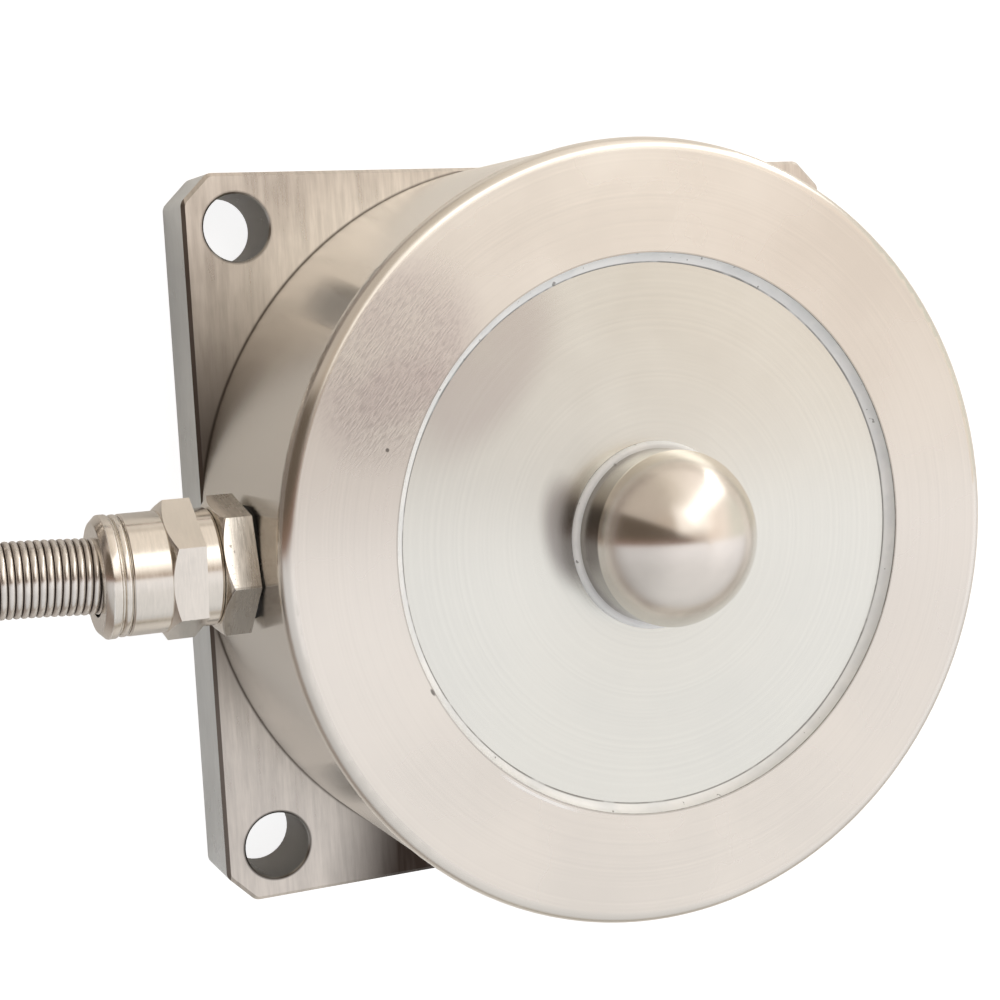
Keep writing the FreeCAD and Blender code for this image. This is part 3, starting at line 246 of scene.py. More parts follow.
# The room behind the part, from left to right, as stops of a place and a brightness: far ahead
# and nearer by
WORLD_STRENGTH = 2.2
FAR_STOPS = (
    (0.3, (0.62, 0.55, 0.48)), (0.4, (0.66, 0.59, 0.51)), (0.5, (0.8, 0.72, 0.63)),
    (0.6, (0.97, 0.89, 0.8)), (0.75, (1.15, 1.05, 0.97)), (0.87, (1.0, 0.93, 0.85)),
)
ROOM_STOPS = (
    (0.5, (0.6, 0.53, 0.465)), (0.65, (0.58, 0.51, 0.46)), (0.685, (0.6, 0.52, 0.47)),
    (0.705, (0.65, 0.56, 0.5)), (0.735, (0.8, 0.69, 0.6)), (0.765, (0.94, 0.82, 0.73)),
    (0.8, (1.0, 0.89, 0.8)), (0.9, (1.1, 1.0, 0.92)), (0.97, (0.86, 0.85, 0.77)),
)
# The pale room before the part, from near to far
FRONT_STOPS = (
    (0.0, (0.8, 0.8, 0.81)), (0.25, (0.89, 0.88, 0.89)), (0.4, (1.04, 1.03, 1.06)),
    (0.45, (1.07, 1.05, 1.07)),
)
WARM_TINT = (1.0, 0.955, 0.91)
BROWN_NEAR, BROWN_FAR = (0.3, 0.18, 0.13), (0.135, 0.105, 0.08)
OVERHEAD_GLOW = (1.35, 1.28, 1.2)
ARC_GLOW = (2.2, 2.14, 2.06)
ARC_MIDDLE = (0.552, 0.637, 0.535)
ARC_ACROSS = (0.57, -0.759, 0.316)


def colour(name, description, default):
    """A property that holds a colour."""
    return FloatVectorProperty(
        name=name, description=description, subtype="COLOR", size=3, min=0, max=1, default=default
    )


def length(name, description, default):
    """A property that holds a size in metres."""
    return FloatProperty(
        name=name, description=description, unit="LENGTH", min=0, precision=5, default=default
    )


class LoadCellStage(bpy.types.PropertyGroup):
    """Floor, light and camera."""

    floor_colour: colour("Floor", "Colour of the floor", (0.4, 0.4, 0.4))
    floor_glow: FloatProperty(
        name="Floor glow", description="Light that lifts the floor to white", min=0, default=0.85
    )
    window_power: FloatProperty(
        name="Window power", description="Power of the window's light in watts", min=0, default=0.45
    )
    lens: FloatProperty(
        name="Lens", description="Focal length in millimetres", min=1, default=66.89
    )


class LoadCellMetal(bpy.types.PropertyGroup):
    """Colours of the metal pieces."""

    plate: colour("Plate", "Ground and plated base plate", (0.68, 0.63, 0.57))
    body: colour("Body", "Turned and plated drum and ring", (0.775, 0.735, 0.672))
    cover: colour("Cover", "Satin cover disc", (0.745, 0.745, 0.69))
    button: colour("Button", "Polished load button", (0.78, 0.73, 0.67))
    gland: colour("Gland", "Plated brass gland", (0.78, 0.73, 0.66))
    conduit: colour("Conduit", "Steel strip of the conduit", (0.78, 0.74, 0.69))


class LoadCellConduit(bpy.types.PropertyGroup):
    """Form of the ridged conduit."""

    width: length("Width", "Outer diameter", 9.3 * MM)
    pitch: length("Pitch", "Distance between ridges", 0.9 * MM)
    groove: length("Groove", "Depth of the gap between ridges", 0.42 * MM)
    fine_length: length("Fine length", "Length by the gland with the finest ridges", 42 * MM)
    fine_sides: IntProperty(
        name="Fine sides", description="Sides of the finely made length", min=8, default=56
    )
    plain_sides: IntProperty(
        name="Plain sides", description="Sides of the rest", min=8, default=16
    )


class LoadCellSettings(bpy.types.PropertyGroup):
    """All sizes and colours that can be changed."""

    stage: PointerProperty(type=LoadCellStage)
    metal: PointerProperty(type=LoadCellMetal)
    conduit: PointerProperty(type=LoadCellConduit)


class Shader:
    """One socket of a node tree. Arithmetic adds Math nodes, and add() makes any other node."""

    def __init__(self, tree, socket=None):
        self.tree = tree
        self.socket = socket

    def add(self, kind, options=None, sockets=None, output=0):
        """Adds a node: its options first, then the values or links of its sockets."""
        node = self.tree.nodes.new("ShaderNode" + kind)
        for name, value in (options or {}).items():
            if name == "stops":
                set_stops(node.color_ramp, value)
            else:
                setattr(node, name, value)
        for name, value in (sockets or {}).items():
            if isinstance(value, Shader):
                self.tree.links.new(value.socket, node.inputs[name])
            else:
                node.inputs[name].default_value = value
        return Shader(self.tree, node.outputs[output])

    def maths(self, operation, *values):
        return self.add("Math", {"operation": operation}, dict(enumerate(values)))

    def __add__(self, other):
        return self.maths("ADD", self, other)

    def __radd__(self, other):
        return self.maths("ADD", other, self)

    def __sub__(self, other):
        return self.maths("SUBTRACT", self, other)

    def __rsub__(self, other):
        return self.maths("SUBTRACT", other, self)

    def __mul__(self, other):
        return self.maths("MULTIPLY", self, other)

    def __rmul__(self, other):
        return self.maths("MULTIPLY", other, self)

    def __pow__(self, other):
        return self.maths("POWER", self, other)

    def __abs__(self):
        return self.maths("ABSOLUTE", self)

    def larger(self, other):
        return self.maths("MAXIMUM", self, other)

    def part(self, axis):
        """The x, y or z of a vector."""
        return self.add("SeparateXYZ", None, {"Vector": self}, axis)

    def parts(self):
        """The x, the y and the z of a vector."""
        return [self.part(axis) for axis in range(3)]

    def noise(self, scale, detail, roughness):
        """A cloudy pattern at each place that the vector gives."""
        sockets = {"Vector": self, "Scale": scale, "Detail": detail, "Roughness": roughness}
        return self.add("TexNoise", None, sockets)

    def stretch(self, x, y, z):
        """The vector with each axis scaled."""
        return self.add("VectorMath", {"operation": "MULTIPLY"}, {0: self, 1: (x, y, z)})

    def scaled(self, factor):
        """The vector or colour times one number."""
        return self.add("VectorMath", {"operation": "SCALE"}, {0: self, "Scale": factor})

    def between(self, low, high):
        """0 at low, 1 at high, and smooth and limited between them."""
        options = {"interpolation_type": "SMOOTHSTEP"}
        sockets = {"Value": self, "From Min": low, "From Max": high}
        return self.add("MapRange", options, sockets)

    def blend(self, first, second):
        """Two colours mixed by this value."""
        sockets = {"Factor": self, 6: opaque(first), 7: opaque(second)}
        return self.add("Mix", {"data_type": "RGBA"}, sockets, 2)

    def ramp(self, *stops):
        """A colour for each value, from stops of a value and its colour."""
        return self.add("ValToRGB", {"stops": stops}, {"Fac": self})

    def dot(self, arm):
        """The length of the vector along an arm of length 1."""
        return self.add("VectorMath", {"operation": "DOT_PRODUCT"}, {0: self, 1: arm}, 1)


def opaque(shade):
    """A colour with full alpha, or a socket as it is."""
    return shade if isinstance(shade, Shader) else (*shade, 1)


def set_stops(ramp, stops):
    """Puts stops of a value and a colour on a ramp."""
    while len(ramp.elements) < len(stops):
        ramp.elements.new(1)
    for element, (place, shade) in zip(ramp.elements, stops):
        element.position = place
        element.color = opaque(shade)


def scaled(shade, factor):
    """A colour made darker or brighter."""
    return tuple(min(1, channel * factor) for channel in shade)


def lit(shade):
    """A brightness of the room, as a share of the world's strength."""
    return tuple(channel / WORLD_STRENGTH for channel in shade)


def lit_ramp(value, stops):
    """The room's brightness for each value, from stops of a value and a brightness."""
    return value.ramp(*((place, lit(shade)) for place, shade in stops))


class Finish:
    """A material with one Principled shader and the place on the object as its pattern's base."""

    def __init__(self, name, **constants):
        self.material = bpy.data.materials.new(name)
        self.material.use_nodes = True
        self.tree = self.material.node_tree
        self.surface = self.tree.nodes["Principled BSDF"]
        self.root = Shader(self.tree)
        self.place = self.root.add("TexCoord", output=3)
        for name, value in constants.items():
            self.surface.inputs[name.replace("_", " ").title()].default_value = value

    def paint(self, socket, value):
        """Links a value to one of the shader's sockets."""
        self.tree.links.new(value.socket, self.surface.inputs[socket])

    def bump(self, height, distance):
        """Raises the surface by a height from 0 to 1 times a distance."""
        sockets = {"Height": height, "Distance": distance}
        self.paint("Normal", self.root.add("Bump", None, sockets))


def settings():
    """The scene's sizes and colours."""
    return bpy.context.scene.load_cell


def distance_from_axis(place):
    """How far each place is from the load axis."""
    x, y = place.part(0), place.part(1)
    return (x * x + y * y) ** 0.5


def rings(place, fineness):
    """Fine lines round the load axis, on faces and on sides, as a turning tool leaves them."""
    across = distance_from_axis(place) + place.part(2)
    sockets = {"W": across, "Scale": fineness, "Detail": 3.0}
    return place.add("TexNoise", {"noise_dimensions": "1D"}, sockets)


def patch(place, mark):
    """1 at a mark's place on the object, fading to 0 at the ends of its oval."""
    middle, reach, turn = MARKS[mark]
    inside = place.add("Mapping", {"vector_type": "TEXTURE"}, {
        "Vector": place,
        "Location": Vector(middle) * MM,
        "Rotation": (0, 0, math.radians(turn)),
        "Scale": Vector(reach) * MM,
    })
    away = inside.add("VectorMath", {"operation": "LENGTH"}, {0: inside}, 1)
    return 1 - away.between(0.45, 1.0)


def metal_constants(roughness, anisotropic=0.0, rotation=0.0):
    """What is the same all over a metal piece."""
    return {
        "metallic": 1.0,
        "roughness": roughness,
        "anisotropic": anisotropic,
        "anisotropic_rotation": rotation,
    }


def plate_painted_shade(x, y):
    """Painted shade on the plate's top: beside the gland and at the lower right."""
    by_gland = (1 - x.between(-47 * MM, -36 * MM) * 0.5) * y.between(-27 * MM, -6 * MM)
    by_gland = by_gland * (1 - y.between(11 * MM, 46 * MM)) * 0.8
    at_corner = (x * 50 - y * 8.5 + 1.65).between(0.15, 0.87) * (1 - x.between(0, 20 * MM))
    return by_gland.larger(at_corner * (1 - y.between(-36 * MM, -28 * MM)))


def plate_finish():
    """Nickel plating over straight grinding lines, with painted shade on the top and in the bores,
    and painted shadow lines.
    """
    shade = settings().metal.plate
    finish = Finish("plate_steel", **metal_constants(0.3))
    place = finish.place
    x, y, z = place.parts()
    lines = place.stretch(2300, 200, 900).noise(1, 4, 0.6)
    broad = place.stretch(900, 75, 200).noise(1, 3, 0.6)
    clouds = place.noise(75, 4, 0.6)
    tone = lines * 0.22 + broad * 0.43 + clouds * 0.4
    streaks = tone.between(0.36, 0.7)
    ground = streaks.blend(scaled(shade, 0.82), scaled(shade, 1.17))
    # Painted shade: the plate's top grows darker towards -y
    ground = ground.scaled(y.between(-30 * MM, 10 * MM) * 0.1 + 0.9)
    side_shade = streaks.blend(PLATE_SIDE_DARK, PLATE_SIDE_PALE)
    side_shade = side_shade.scaled(1 - y.between(5 * MM, 35 * MM) * 0.2)

    top = z.between(PLATE_TOP - 0.06 * MM, PLATE_TOP - 0.01 * MM)
    not_sides = z.between(PLATE_TOP - 0.55 * MM, PLATE_TOP - 0.5 * MM)
    # Painted shade: the top darkens beside the gland and at the lower right
    painted_shade_mask = not_sides * plate_painted_shade(x, y)
    painted_shade_plate = (painted_shade_mask * (broad * 0.16 + 0.92)).blend(
        not_sides.blend(side_shade, ground), PLATE_PAINTED_SHADE
    )

    # Painted shade inside the plate's holes, darkest at the top of each bore, and a painted shadow
    # ring round each hole's rim, darker on the holes at -y
    aside, beyond = abs(x) - HOLE_PLACE, abs(y) - HOLE_PLACE
    from_hole = (aside * aside + beyond * beyond) ** 0.5
    not_bore = from_hole.between(HOLE_RADIUS + 0.05 * MM, HOLE_RADIUS + 0.15 * MM)
    bore_shaded = not_bore.blend(z.between(0, PLATE_TOP).blend(BORE_SHADE_LOW, BORE_SHADE_HIGH), painted_shade_plate)
    rim = not_bore * (1 - from_hole.between(HOLE_RADIUS + 0.3 * MM, HOLE_RADIUS + 0.5 * MM))
    rim_shaded = (rim * (0.75 - y.between(-10 * MM, 10 * MM) * 0.4)).blend(bore_shaded, BORE_RIM_SHADE)

    foot = top * (1 - distance_from_axis(place).between(DRUM_RADIUS, DRUM_RADIUS + 0.4 * MM))
    lined = (foot * 0.75).blend(rim_shaded, FOOT_LINE)
    left_edge = not_sides * (1 - top) * (1 - x.between(-49.04 * MM, -48.98 * MM))
    finish.paint("Base Color", (left_edge * 0.8).blend(lined, EDGE_LINE))
    finish.paint("Roughness", tone.between(0.3, 0.8) * 0.12 + painted_shade_mask * 0.08 + 0.25)
    finish.bump(broad, 0.006 * MM)
    return finish.material


def body_finish():
    """Turned steel under warm nickel plating: a satin face with its marks, and a brighter rim."""
    shade = settings().metal.body
    finish = Finish("plated_steel", **metal_constants(0.3, 0.85, 0.25))
    place = finish.place
    x, y, z = place.parts()
    radius = distance_from_axis(place)
    turned = rings(place, 2600)
    clouds = place.noise(45, 4, 0.55)
    tone = turned * 0.2 + clouds * 0.8
    plated = tone.between(0.3, 0.7).blend(scaled(shade, 0.95), scaled(shade, 1.05))

    face = z.between(FACE - 0.05 * MM, FACE - 0.01 * MM)
    rubbed_and_shaded = face * patch(place, "rubbed place")
    dulled_and_shaded = rubbed_and_shaded * clouds.between(0.25, 0.6) * 0.7 + face * patch(place, "smudge") * 0.35
    slant = place.add("Mapping", None, {"Vector": place, "Rotation": (0, 0, SCUFF_SLANT)})
    strokes = slant.stretch(800, 5200, 1).noise(1, 5, 0.7)
    scuffs = rubbed_and_shaded * strokes.between(0.43, 0.62)
    scuffed = (scuffs * 0.42).blend(dulled_and_shaded.blend(plated, DULL_PLATING), SCUFF)
    pits = patch(place, "nick") + patch(place, "dot")
    pitted = (pits * 0.8).blend(scuffed, PIT)

    # Painted shade low on the drum's side at the lower left
    low = (1 - z.between(12 * MM, 22 * MM)) * (1 - y.between(-34 * MM, -10 * MM))
    painted_shade_low_left = low * (1 - x.between(-20 * MM, -5 * MM))
    shaded = (painted_shade_low_left * 0.4).blend(pitted, scaled(shade, 0.45))
    brink = z.between(FACE - 0.4 * MM, FACE - 0.3 * MM)
    brink = brink * (1 - radius.between(SEAL_RADIUS + 0.08 * MM, SEAL_RADIUS + 0.24 * MM))
    outlined = (brink * 0.55).blend(shaded, BRINK_LINE)
    smear = radius.between(35.9 * MM, 36.0 * MM) * (1 - radius.between(36.25 * MM, 36.4 * MM))
    smear = smear * patch(place, "silicone smear")
    rim = radius.between(RIM_RADIUS - 1.75 * MM, RIM_RADIUS - 1.3 * MM)
    finish.paint("Base Color", smear.blend(outlined, DRIED_SILICONE))
    finish.paint("Metallic", 1 - smear)
    finish.paint("Roughness", clouds.between(0.35, 0.7) * 0.04 + scuffs * 0.12 + 0.26 - rim * 0.09)
    finish.bump(turned + scuffs * 0.5, 0.003 * MM)
    return finish.material


def cover_finish():
    """Satin disc with faint turning rings, a painted shadow and reflection of the button beside it,
    and smeared at the upper left.
    """
    shade = settings().metal.cover
    finish = Finish("cover_steel", **metal_constants(0.22, 0.7, 0.25))
    place = finish.place
    turned = rings(place, 2200)
    clouds = place.noise(38, 4, 0.55)
    tone = turned * 0.2 + clouds * 0.8
    clean = tone.between(0.3, 0.7).blend(scaled(shade, 0.96), scaled(shade, 1.04))
    smear = patch(place, "cover smear") * clouds.between(0.2, 0.6)
    smeared = (smear * 0.6).blend(clean, COVER_SMEAR)
    # Painted shadow and reflection of the button on the disc at its left
    finish.paint("Base Color", (patch(place, "button shadow place") * 0.6).blend(smeared, COVER_BUTTON_SHADOW))
    finish.paint("Roughness", clouds.between(0.35, 0.7) * 0.04 + 0.21)
    finish.bump(turned, 0.002 * MM)
    return finish.material


def button_finish():
    """Polished dome with the finest turning rings, and painted shade on its side, darkest at the
    left.
    """
    shade = settings().metal.button
    finish = Finish("button_steel", **metal_constants(0.24, 0.6, 0.25))
    place = finish.place
    clouds = place.noise(160, 4, 0.6)
    dome_foot = BUTTON_TOP - DOME_HEIGHT
    side = 1 - place.part(2).between(dome_foot - 0.3 * MM, dome_foot)
    # Painted shade on the button's side, strongest at the left
    shaded = (1 - place.part(0).between(-9 * MM, 2 * MM)) * 0.32 + 0.3
    bright = clouds.between(0.3, 0.7).blend(scaled(shade, 0.97), scaled(shade, 1.03))
    finish.paint("Base Color", (side * shaded).blend(bright, scaled(shade, 0.22)))
    finish.paint("Roughness", clouds.between(0.35, 0.7) * 0.04 + 0.2)
    finish.bump(rings(place, 3200), 0.0016 * MM)
    return finish.material


def gland_finish():
    """Bright nickel on brass, finely brushed. Its hexagon has painted shade on part of its middle
    flat and on its lower flat, and white worn edges.
    """
    shade = settings().metal.gland
    finish = Finish("plated_brass", **metal_constants(0.2))
    place = finish.place
    x = place.part(0)
    brushed = place.stretch(3800, 420, 420).noise(1, 4, 0.6)
    clouds = place.noise(190, 4, 0.6)
    tone = brushed * 0.45 + clouds * 0.55
    plated = tone.between(0.32, 0.68).blend(scaled(shade, 0.93), scaled(shade, 1.05))
    # Painted shade on the right part of the body hexagon's middle flat, with brush marks in it
    rubbed_and_shaded = x.between(-53.5 * MM, -52.3 * MM)
    brush_marks = place.stretch(5200, 420, 420).noise(1, 3, 0.6).between(0.3, 0.7)
    dulled_and_shaded = (rubbed_and_shaded * (brush_marks * 0.5 + 0.5)).blend(plated, scaled(shade, 0.54))
    strip = x.between(-53.5 * MM, -53.3 * MM) * (1 - x.between(-52.9 * MM, -52.6 * MM))
    flecks = strip * place.stretch(1500, 1500, 800).noise(1, 2, 0.6).between(0.6, 0.66)
    flecked = (flecks * 0.7).blend(dulled_and_shaded, FLECK)
    # Painted shade on the lower flat of the body hexagon
    underside = place.dot(HEXAGON_UNDERSIDE).between(29.2 * MM, 29.35 * MM)
    underside = underside * x.between(-54.4 * MM, -54.2 * MM)
    shaded = (underside * 0.8).blend(flecked, scaled(shade, 0.4))
    worn = place.add("Attribute", {"attribute_name": "worn"}, output=2) * clouds.between(0.4, 0.55)
    finish.paint("Base Color", (worn * 0.7).blend(shaded, BARE_EDGE))
    finish.paint("Roughness", tone.between(0.35, 0.7) * 0.1 + worn * 0.1 + rubbed_and_shaded * 0.1 + 0.14)
    finish.bump(brushed, 0.003 * MM)
    return finish.material


def conduit_finish():
    """Stainless strip, bright on the ridges, with painted shade in the gaps."""
    shade = settings().metal.conduit
    finish = Finish("conduit_steel", **metal_constants(0.24))
    clouds = finish.place.noise(420, 3, 0.6)
    gap = finish.place.add("Attribute", {"attribute_name": "gap"}, output=2)
    strip = clouds.between(0.3, 0.7).blend(scaled(shade, 0.92), scaled(shade, 1.06))
    # Painted shade in the gaps between the ridges
    finish.paint("Base Color", gap.between(0.12, 0.85).blend(strip, CONDUIT_GAP_SHADE))
    finish.paint("Roughness", clouds.between(0.3, 0.7) * 0.06 + gap * 0.2 + 0.2)
    return finish.material


def seal_finish():
    """White silicone, with a fine grey line where it ends on the disc and on the ring."""
    finish = Finish("white_silicone", roughness=0.32)
    place = finish.place
    height = place.part(2)
    toe = 1 - height.between(COVER_TOP + 0.03 * MM, COVER_TOP + 0.12 * MM)
    lip = height.between(FACE - 0.27 * MM, FACE - 0.17 * MM)
    grime = place.noise(230, 3, 0.6)
    clean = grime.between(0.35, 0.65).blend(SILICONE_DARK, SILICONE_PALE)
    outlined = ((toe + lip) * grime.between(0.2, 0.5)).blend(clean, SEAL_LINE)
    specks = place.noise(1100, 2, 0.5).between(0.71, 0.74)
    finish.paint("Base Color", (specks * 0.7).blend(outlined, SPECK))
    finish.bump(grime, 0.02 * MM)
    return finish.material


def plain_finish(name, shade, roughness, **constants):
    """A finish of one colour with a fine grain."""
    finish = Finish(name, roughness=roughness, **constants)
    grain = finish.place.noise(400, 3, 0.55)
    varied = grain.between(0.3, 0.7).blend(scaled(shade, 0.88), scaled(shade, 1.08))
    finish.paint("Base Color", varied)
    finish.bump(grain, 0.01 * MM)
    return finish.material


def eased_copy(node, width, moves, bore=None):
    """A merged copy of a CAD node with its sharp edges broken. Broken edges are marked as worn.
    Each move takes the points between two x, beyond a radius, to a new x. A bore takes the points
    between two radii to a third."""
    shape = bmesh.new()
    shape.from_mesh(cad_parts[node].data)
    bmesh.ops.remove_doubles(shape, verts=shape.verts, dist=MERGE_DISTANCE)
    for low, high, reach, target in moves:
        for vertex in shape.verts:
            across = math.hypot(vertex.co.y, vertex.co.z - GLAND_HEIGHT)
            if low - MOVE_MARGIN < vertex.co.x < high + MOVE_MARGIN and across > reach:
                vertex.co.x = target
    if bore:
        least, most, radius = bore
        for vertex in shape.verts:
            arm = Vector((0, vertex.co.y, vertex.co.z - GLAND_HEIGHT))
            if least < arm.length < most:
                vertex.co += arm * (radius / arm.length - 1)
    bmesh.ops.dissolve_limit(
        shape, angle_limit=FLAT_ANGLE, verts=shape.verts, edges=shape.edges
    )
    worn = shape.faces.layers.float.new("worn")
    sharp = [
        edge
        for edge in shape.edges
        if len(edge.link_faces) == 2 and edge.calc_face_angle() > SHARP_ANGLE
    ]
    made = bmesh.ops.bevel(
        shape, geom=sharp, offset=width, offset_type="OFFSET", segments=2, profile=0.5,
        affect="EDGES", clamp_overlap=True, material=-1,
    )
    for face in made["faces"]:
        face[worn] = 1.0
    smooth_shape(shape, EASED_ANGLE)
    return shape


def dress_node(name, material):
    """Gives a CAD node its finish."""
    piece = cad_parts[name]
    piece.data.materials.clear()
    piece.data.materials.append(material)


def add_piece(name, shape, material, slot, *stands_for):
    """Turns a bmesh into a piece."""
    mesh = bpy.data.meshes.new(name)
    shape.to_mesh(mesh)
    shape.free()
    return add_object(name, mesh, material, slot, *stands_for)


def add_object(name, data, material, slot, *stands_for):
    """Adds a mesh or curve as a piece that rides on the body and stands for CAD nodes."""
    piece = bpy.data.objects.new(name, data)
    data.materials.clear()
    data.materials.append(material)
    bpy.context.scene.collection.objects.link(piece)
    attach(piece, BODY)
    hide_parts(*stands_for)
    return piece


def smooth_shape(shape, angle):
    """Smooth faces, with sharp edges where they meet at more than an angle."""
    for face in shape.faces:
        face.smooth = True
    for edge in shape.edges:
        if len(edge.link_faces) == 2 and edge.calc_face_angle() > angle:
            edge.smooth = False


def lathe(corners, segments):
    """A solid turned about the load axis from (radius, height) corners."""
    shape = bmesh.new()
    points = [shape.verts.new((radius, 0, height)) for radius, height in corners]
    lines = [shape.edges.new(pair) for pair in zip(points, points[1:] + points[:1])]
    bmesh.ops.spin(
        shape,
        geom=points + lines,
        cent=(0, 0, 0),
        axis=UP,
        dvec=(0, 0, 0),
        angle=FULL_TURN,
        steps=segments,
        use_merge=True,
        use_duplicate=False,
    )
    bmesh.ops.remove_doubles(shape, verts=shape.verts, dist=1e-7)
    bmesh.ops.recalc_face_normals(shape, faces=shape.faces)
    return shape


def route_curve(name, points):
    """A NURBS curve with the route's points as its control points."""
    curve = bpy.data.curves.new(name, "CURVE")
    curve.dimensions = "3D"
    curve.resolution_u = 12
    spline = curve.splines.new("NURBS")
    spline.points.add(len(points) - 1)
    for control, point in zip(spline.points, points):
        control.co = (*point, 1)
    spline.order_u = 3
    spline.use_endpoint_u = True
    return curve


def route_line(points):
    """The points that the route's smooth line goes through."""
    curve = route_curve("route", points)
    holder = bpy.data.objects.new("route", curve)
    mesh = bpy.data.meshes.new_from_object(holder)
    line = [vertex.co.copy() for vertex in mesh.vertices]
    bpy.data.objects.remove(holder)
    bpy.data.curves.remove(curve)
    bpy.data.meshes.remove(mesh)
    return line


class Walk:
    """Places along a line of points, with a frame that doesn't twist."""

    def __init__(self, line):
        self.line = line
        self.stations = [0.0]
        for first, second in zip(line, line[1:]):
            self.stations.append(self.stations[-1] + (second - first).length)
        self.total = self.stations[-1]
        self.frames = self.make_frames()

    def make_frames(self):
        """A direction and a side for each point, the side carried along without a twist."""
        frames = []
        side = None
        for k in range(len(self.line)):
            before = self.line[max(k - 1, 0)]
            after = self.line[min(k + 1, len(self.line) - 1)]
            ahead = (after - before).normalized()
            if side is None:
                side = ahead.cross(UP).normalized()
            else:
                turn = frames[-1][0].rotation_difference(ahead)
                side = (turn @ side).normalized()
            frames.append((ahead, side))
        return frames

    def at(self, distance, index):
        """The middle, side and upright at a distance, found from an index on."""
        while index < len(self.line) - 2 and self.stations[index + 1] < distance:
            index += 1
        span = self.stations[index + 1] - self.stations[index]
        share = (distance - self.stations[index]) / span
        middle = self.line[index].lerp(self.line[index + 1], share)
        ahead = self.frames[index][0].lerp(self.frames[index + 1][0], share).normalized()
        side = self.frames[index][1].lerp(self.frames[index + 1][1], share)
        side = (side - ahead * side.dot(ahead)).normalized()
        return middle, side, side.cross(ahead), index


def wrap_tube(shape, walk, ridge_rings, sides):
    """Wraps a grid round the line, with a ring at each distance. A ring's drop is 0 on a ridge and
    1 in a gap."""
    conduit = settings().conduit
    made = bmesh.ops.create_grid(shape, x_segments=sides, y_segments=len(ridge_rings) - 1, size=1)
    grid = made["verts"]
    gap = shape.verts.layers.float["gap"]
    index = 0
    for row, (distance, drop) in enumerate(ridge_rings):
        middle, side, upright, index = walk.at(distance, index)
        radius = conduit.width / 2 - conduit.groove * drop
        for column in range(sides + 1):
            turn = FULL_TURN * (column % sides) / sides
            arm = side * math.cos(turn) + upright * math.sin(turn)
            vertex = grid[row * (sides + 1) + column]
            vertex.co = middle + arm * radius
            vertex[gap] = drop
    bmesh.ops.remove_doubles(shape, verts=grid, dist=1e-8)


def close_ends(shape):
    """Fills the open ends of a tube."""
    loose = [edge for edge in shape.edges if edge.is_boundary]
    bmesh.ops.holes_fill(shape, edges=loose, sides=0)


def coil_place(turns):
    """Radius and height of the coil's line. Its upper layer winds inwards, its lower outwards."""
    width = settings().conduit.width
    if turns < COIL_TOP_TURNS:
        return COIL_TOP_RADIUS + width * (COIL_TOP_TURNS - turns), COIL_TOP_HEIGHT
    dropped = min((turns - COIL_TOP_TURNS) / COIL_DROP_TURNS, 1)
    outwards = max(turns - COIL_TOP_TURNS - COIL_DROP_TURNS, 0)
    radius = COIL_TOP_RADIUS + (COIL_LOWER_RADIUS - COIL_TOP_RADIUS) * dropped + width * outwards
    return radius, COIL_TOP_HEIGHT + (COIL_LOWER_HEIGHT - COIL_TOP_HEIGHT) * dropped


def conduit_route():
    """Control points of the conduit's line. Those of a round turn lie a little outside it."""
    points = at_offsets(CONDUIT_START, CONDUIT_ROUTE)
    turns = COIL_TOP_TURNS + COIL_DROP_TURNS + COIL_LOWER_TURNS
    for k in range(round(turns * COIL_POINTS_A_TURN)):
        done = (k + 0.5) / COIL_POINTS_A_TURN
        radius, height = coil_place(done)
        angle = -math.pi / 2 - FULL_TURN * done
        arm = Vector((math.cos(angle), math.sin(angle), 0)) * radius
        points.append(COIL_CENTRE + arm / math.cos(math.pi / COIL_POINTS_A_TURN) + UP * height)
    leaving = COIL_CENTRE + Vector((0, coil_place(turns)[0], FREE_END_HEIGHT))
    return [*points, leaving, leaving + Vector((EXIT_STUB, 0, 0))]


def ridges(first, count, form):
    """Distances and drops of the rings that make a row of ridges of one form."""
    pitch = settings().conduit.pitch
    made = [((first + k + share) * pitch, drop) for k in range(count) for share, drop in form]
    return made + [((first + count) * pitch, 1.0)]


def conduit_shape(walk):
    """Rounded ridges with narrow gaps between them, finest by the gland."""
    conduit = settings().conduit
    fine_count = round(conduit.fine_length / conduit.pitch)
    fine_end = fine_count * conduit.pitch
    plain_count = int((walk.total - fine_end) / conduit.pitch)
    shape = bmesh.new()
    shape.verts.layers.float.new("gap")
    wrap_tube(shape, walk, ridges(0, fine_count, FINE_RIDGE), conduit.fine_sides)
    plain = ridges(fine_count + 1, plain_count - 1, PLAIN_RIDGE)
    wrap_tube(shape, walk, plain, conduit.plain_sides)

    seam = walk.at(fine_end, 0)[0]
    beyond = walk.at(plain[0][0], 0)[0]
    reach = conduit.width / 2 * 1.01
    joined = [
        edge
        for edge in shape.edges
        if edge.is_boundary
        and min((edge.verts[0].co - place).length for place in (seam, beyond)) < reach
    ]
    bmesh.ops.bridge_loops(shape, edges=joined)
    close_ends(shape)
    bmesh.ops.recalc_face_normals(shape, faces=shape.faces)
    smooth_shape(shape, RIDGE_ANGLE)
    return shape


def at_offsets(start, route):
    """The points of a route given in millimetres from its start."""
    return [start + Vector(offset) * MM for offset in route]


def soft_ring(name, corners, wobble, material, node):
    """A silicone bead laid by hand: a turned ring whose exposed side wavers."""
    shape = lathe(corners, BEAD_SIDES)
    for vertex in shape.verts:
        if vertex.co.z > COVER_TOP + BEAD_FOOT:
            swell = noise.noise(vertex.co * BROAD_SWELL)
            swell += 0.3 * noise.noise(vertex.co * FINE_SWELL)
            vertex.co.z += min(0.0, swell) * wobble
    smooth_shape(shape, BEAD_ANGLE)
    return add_piece(name, shape, material, "white_silicone", node)


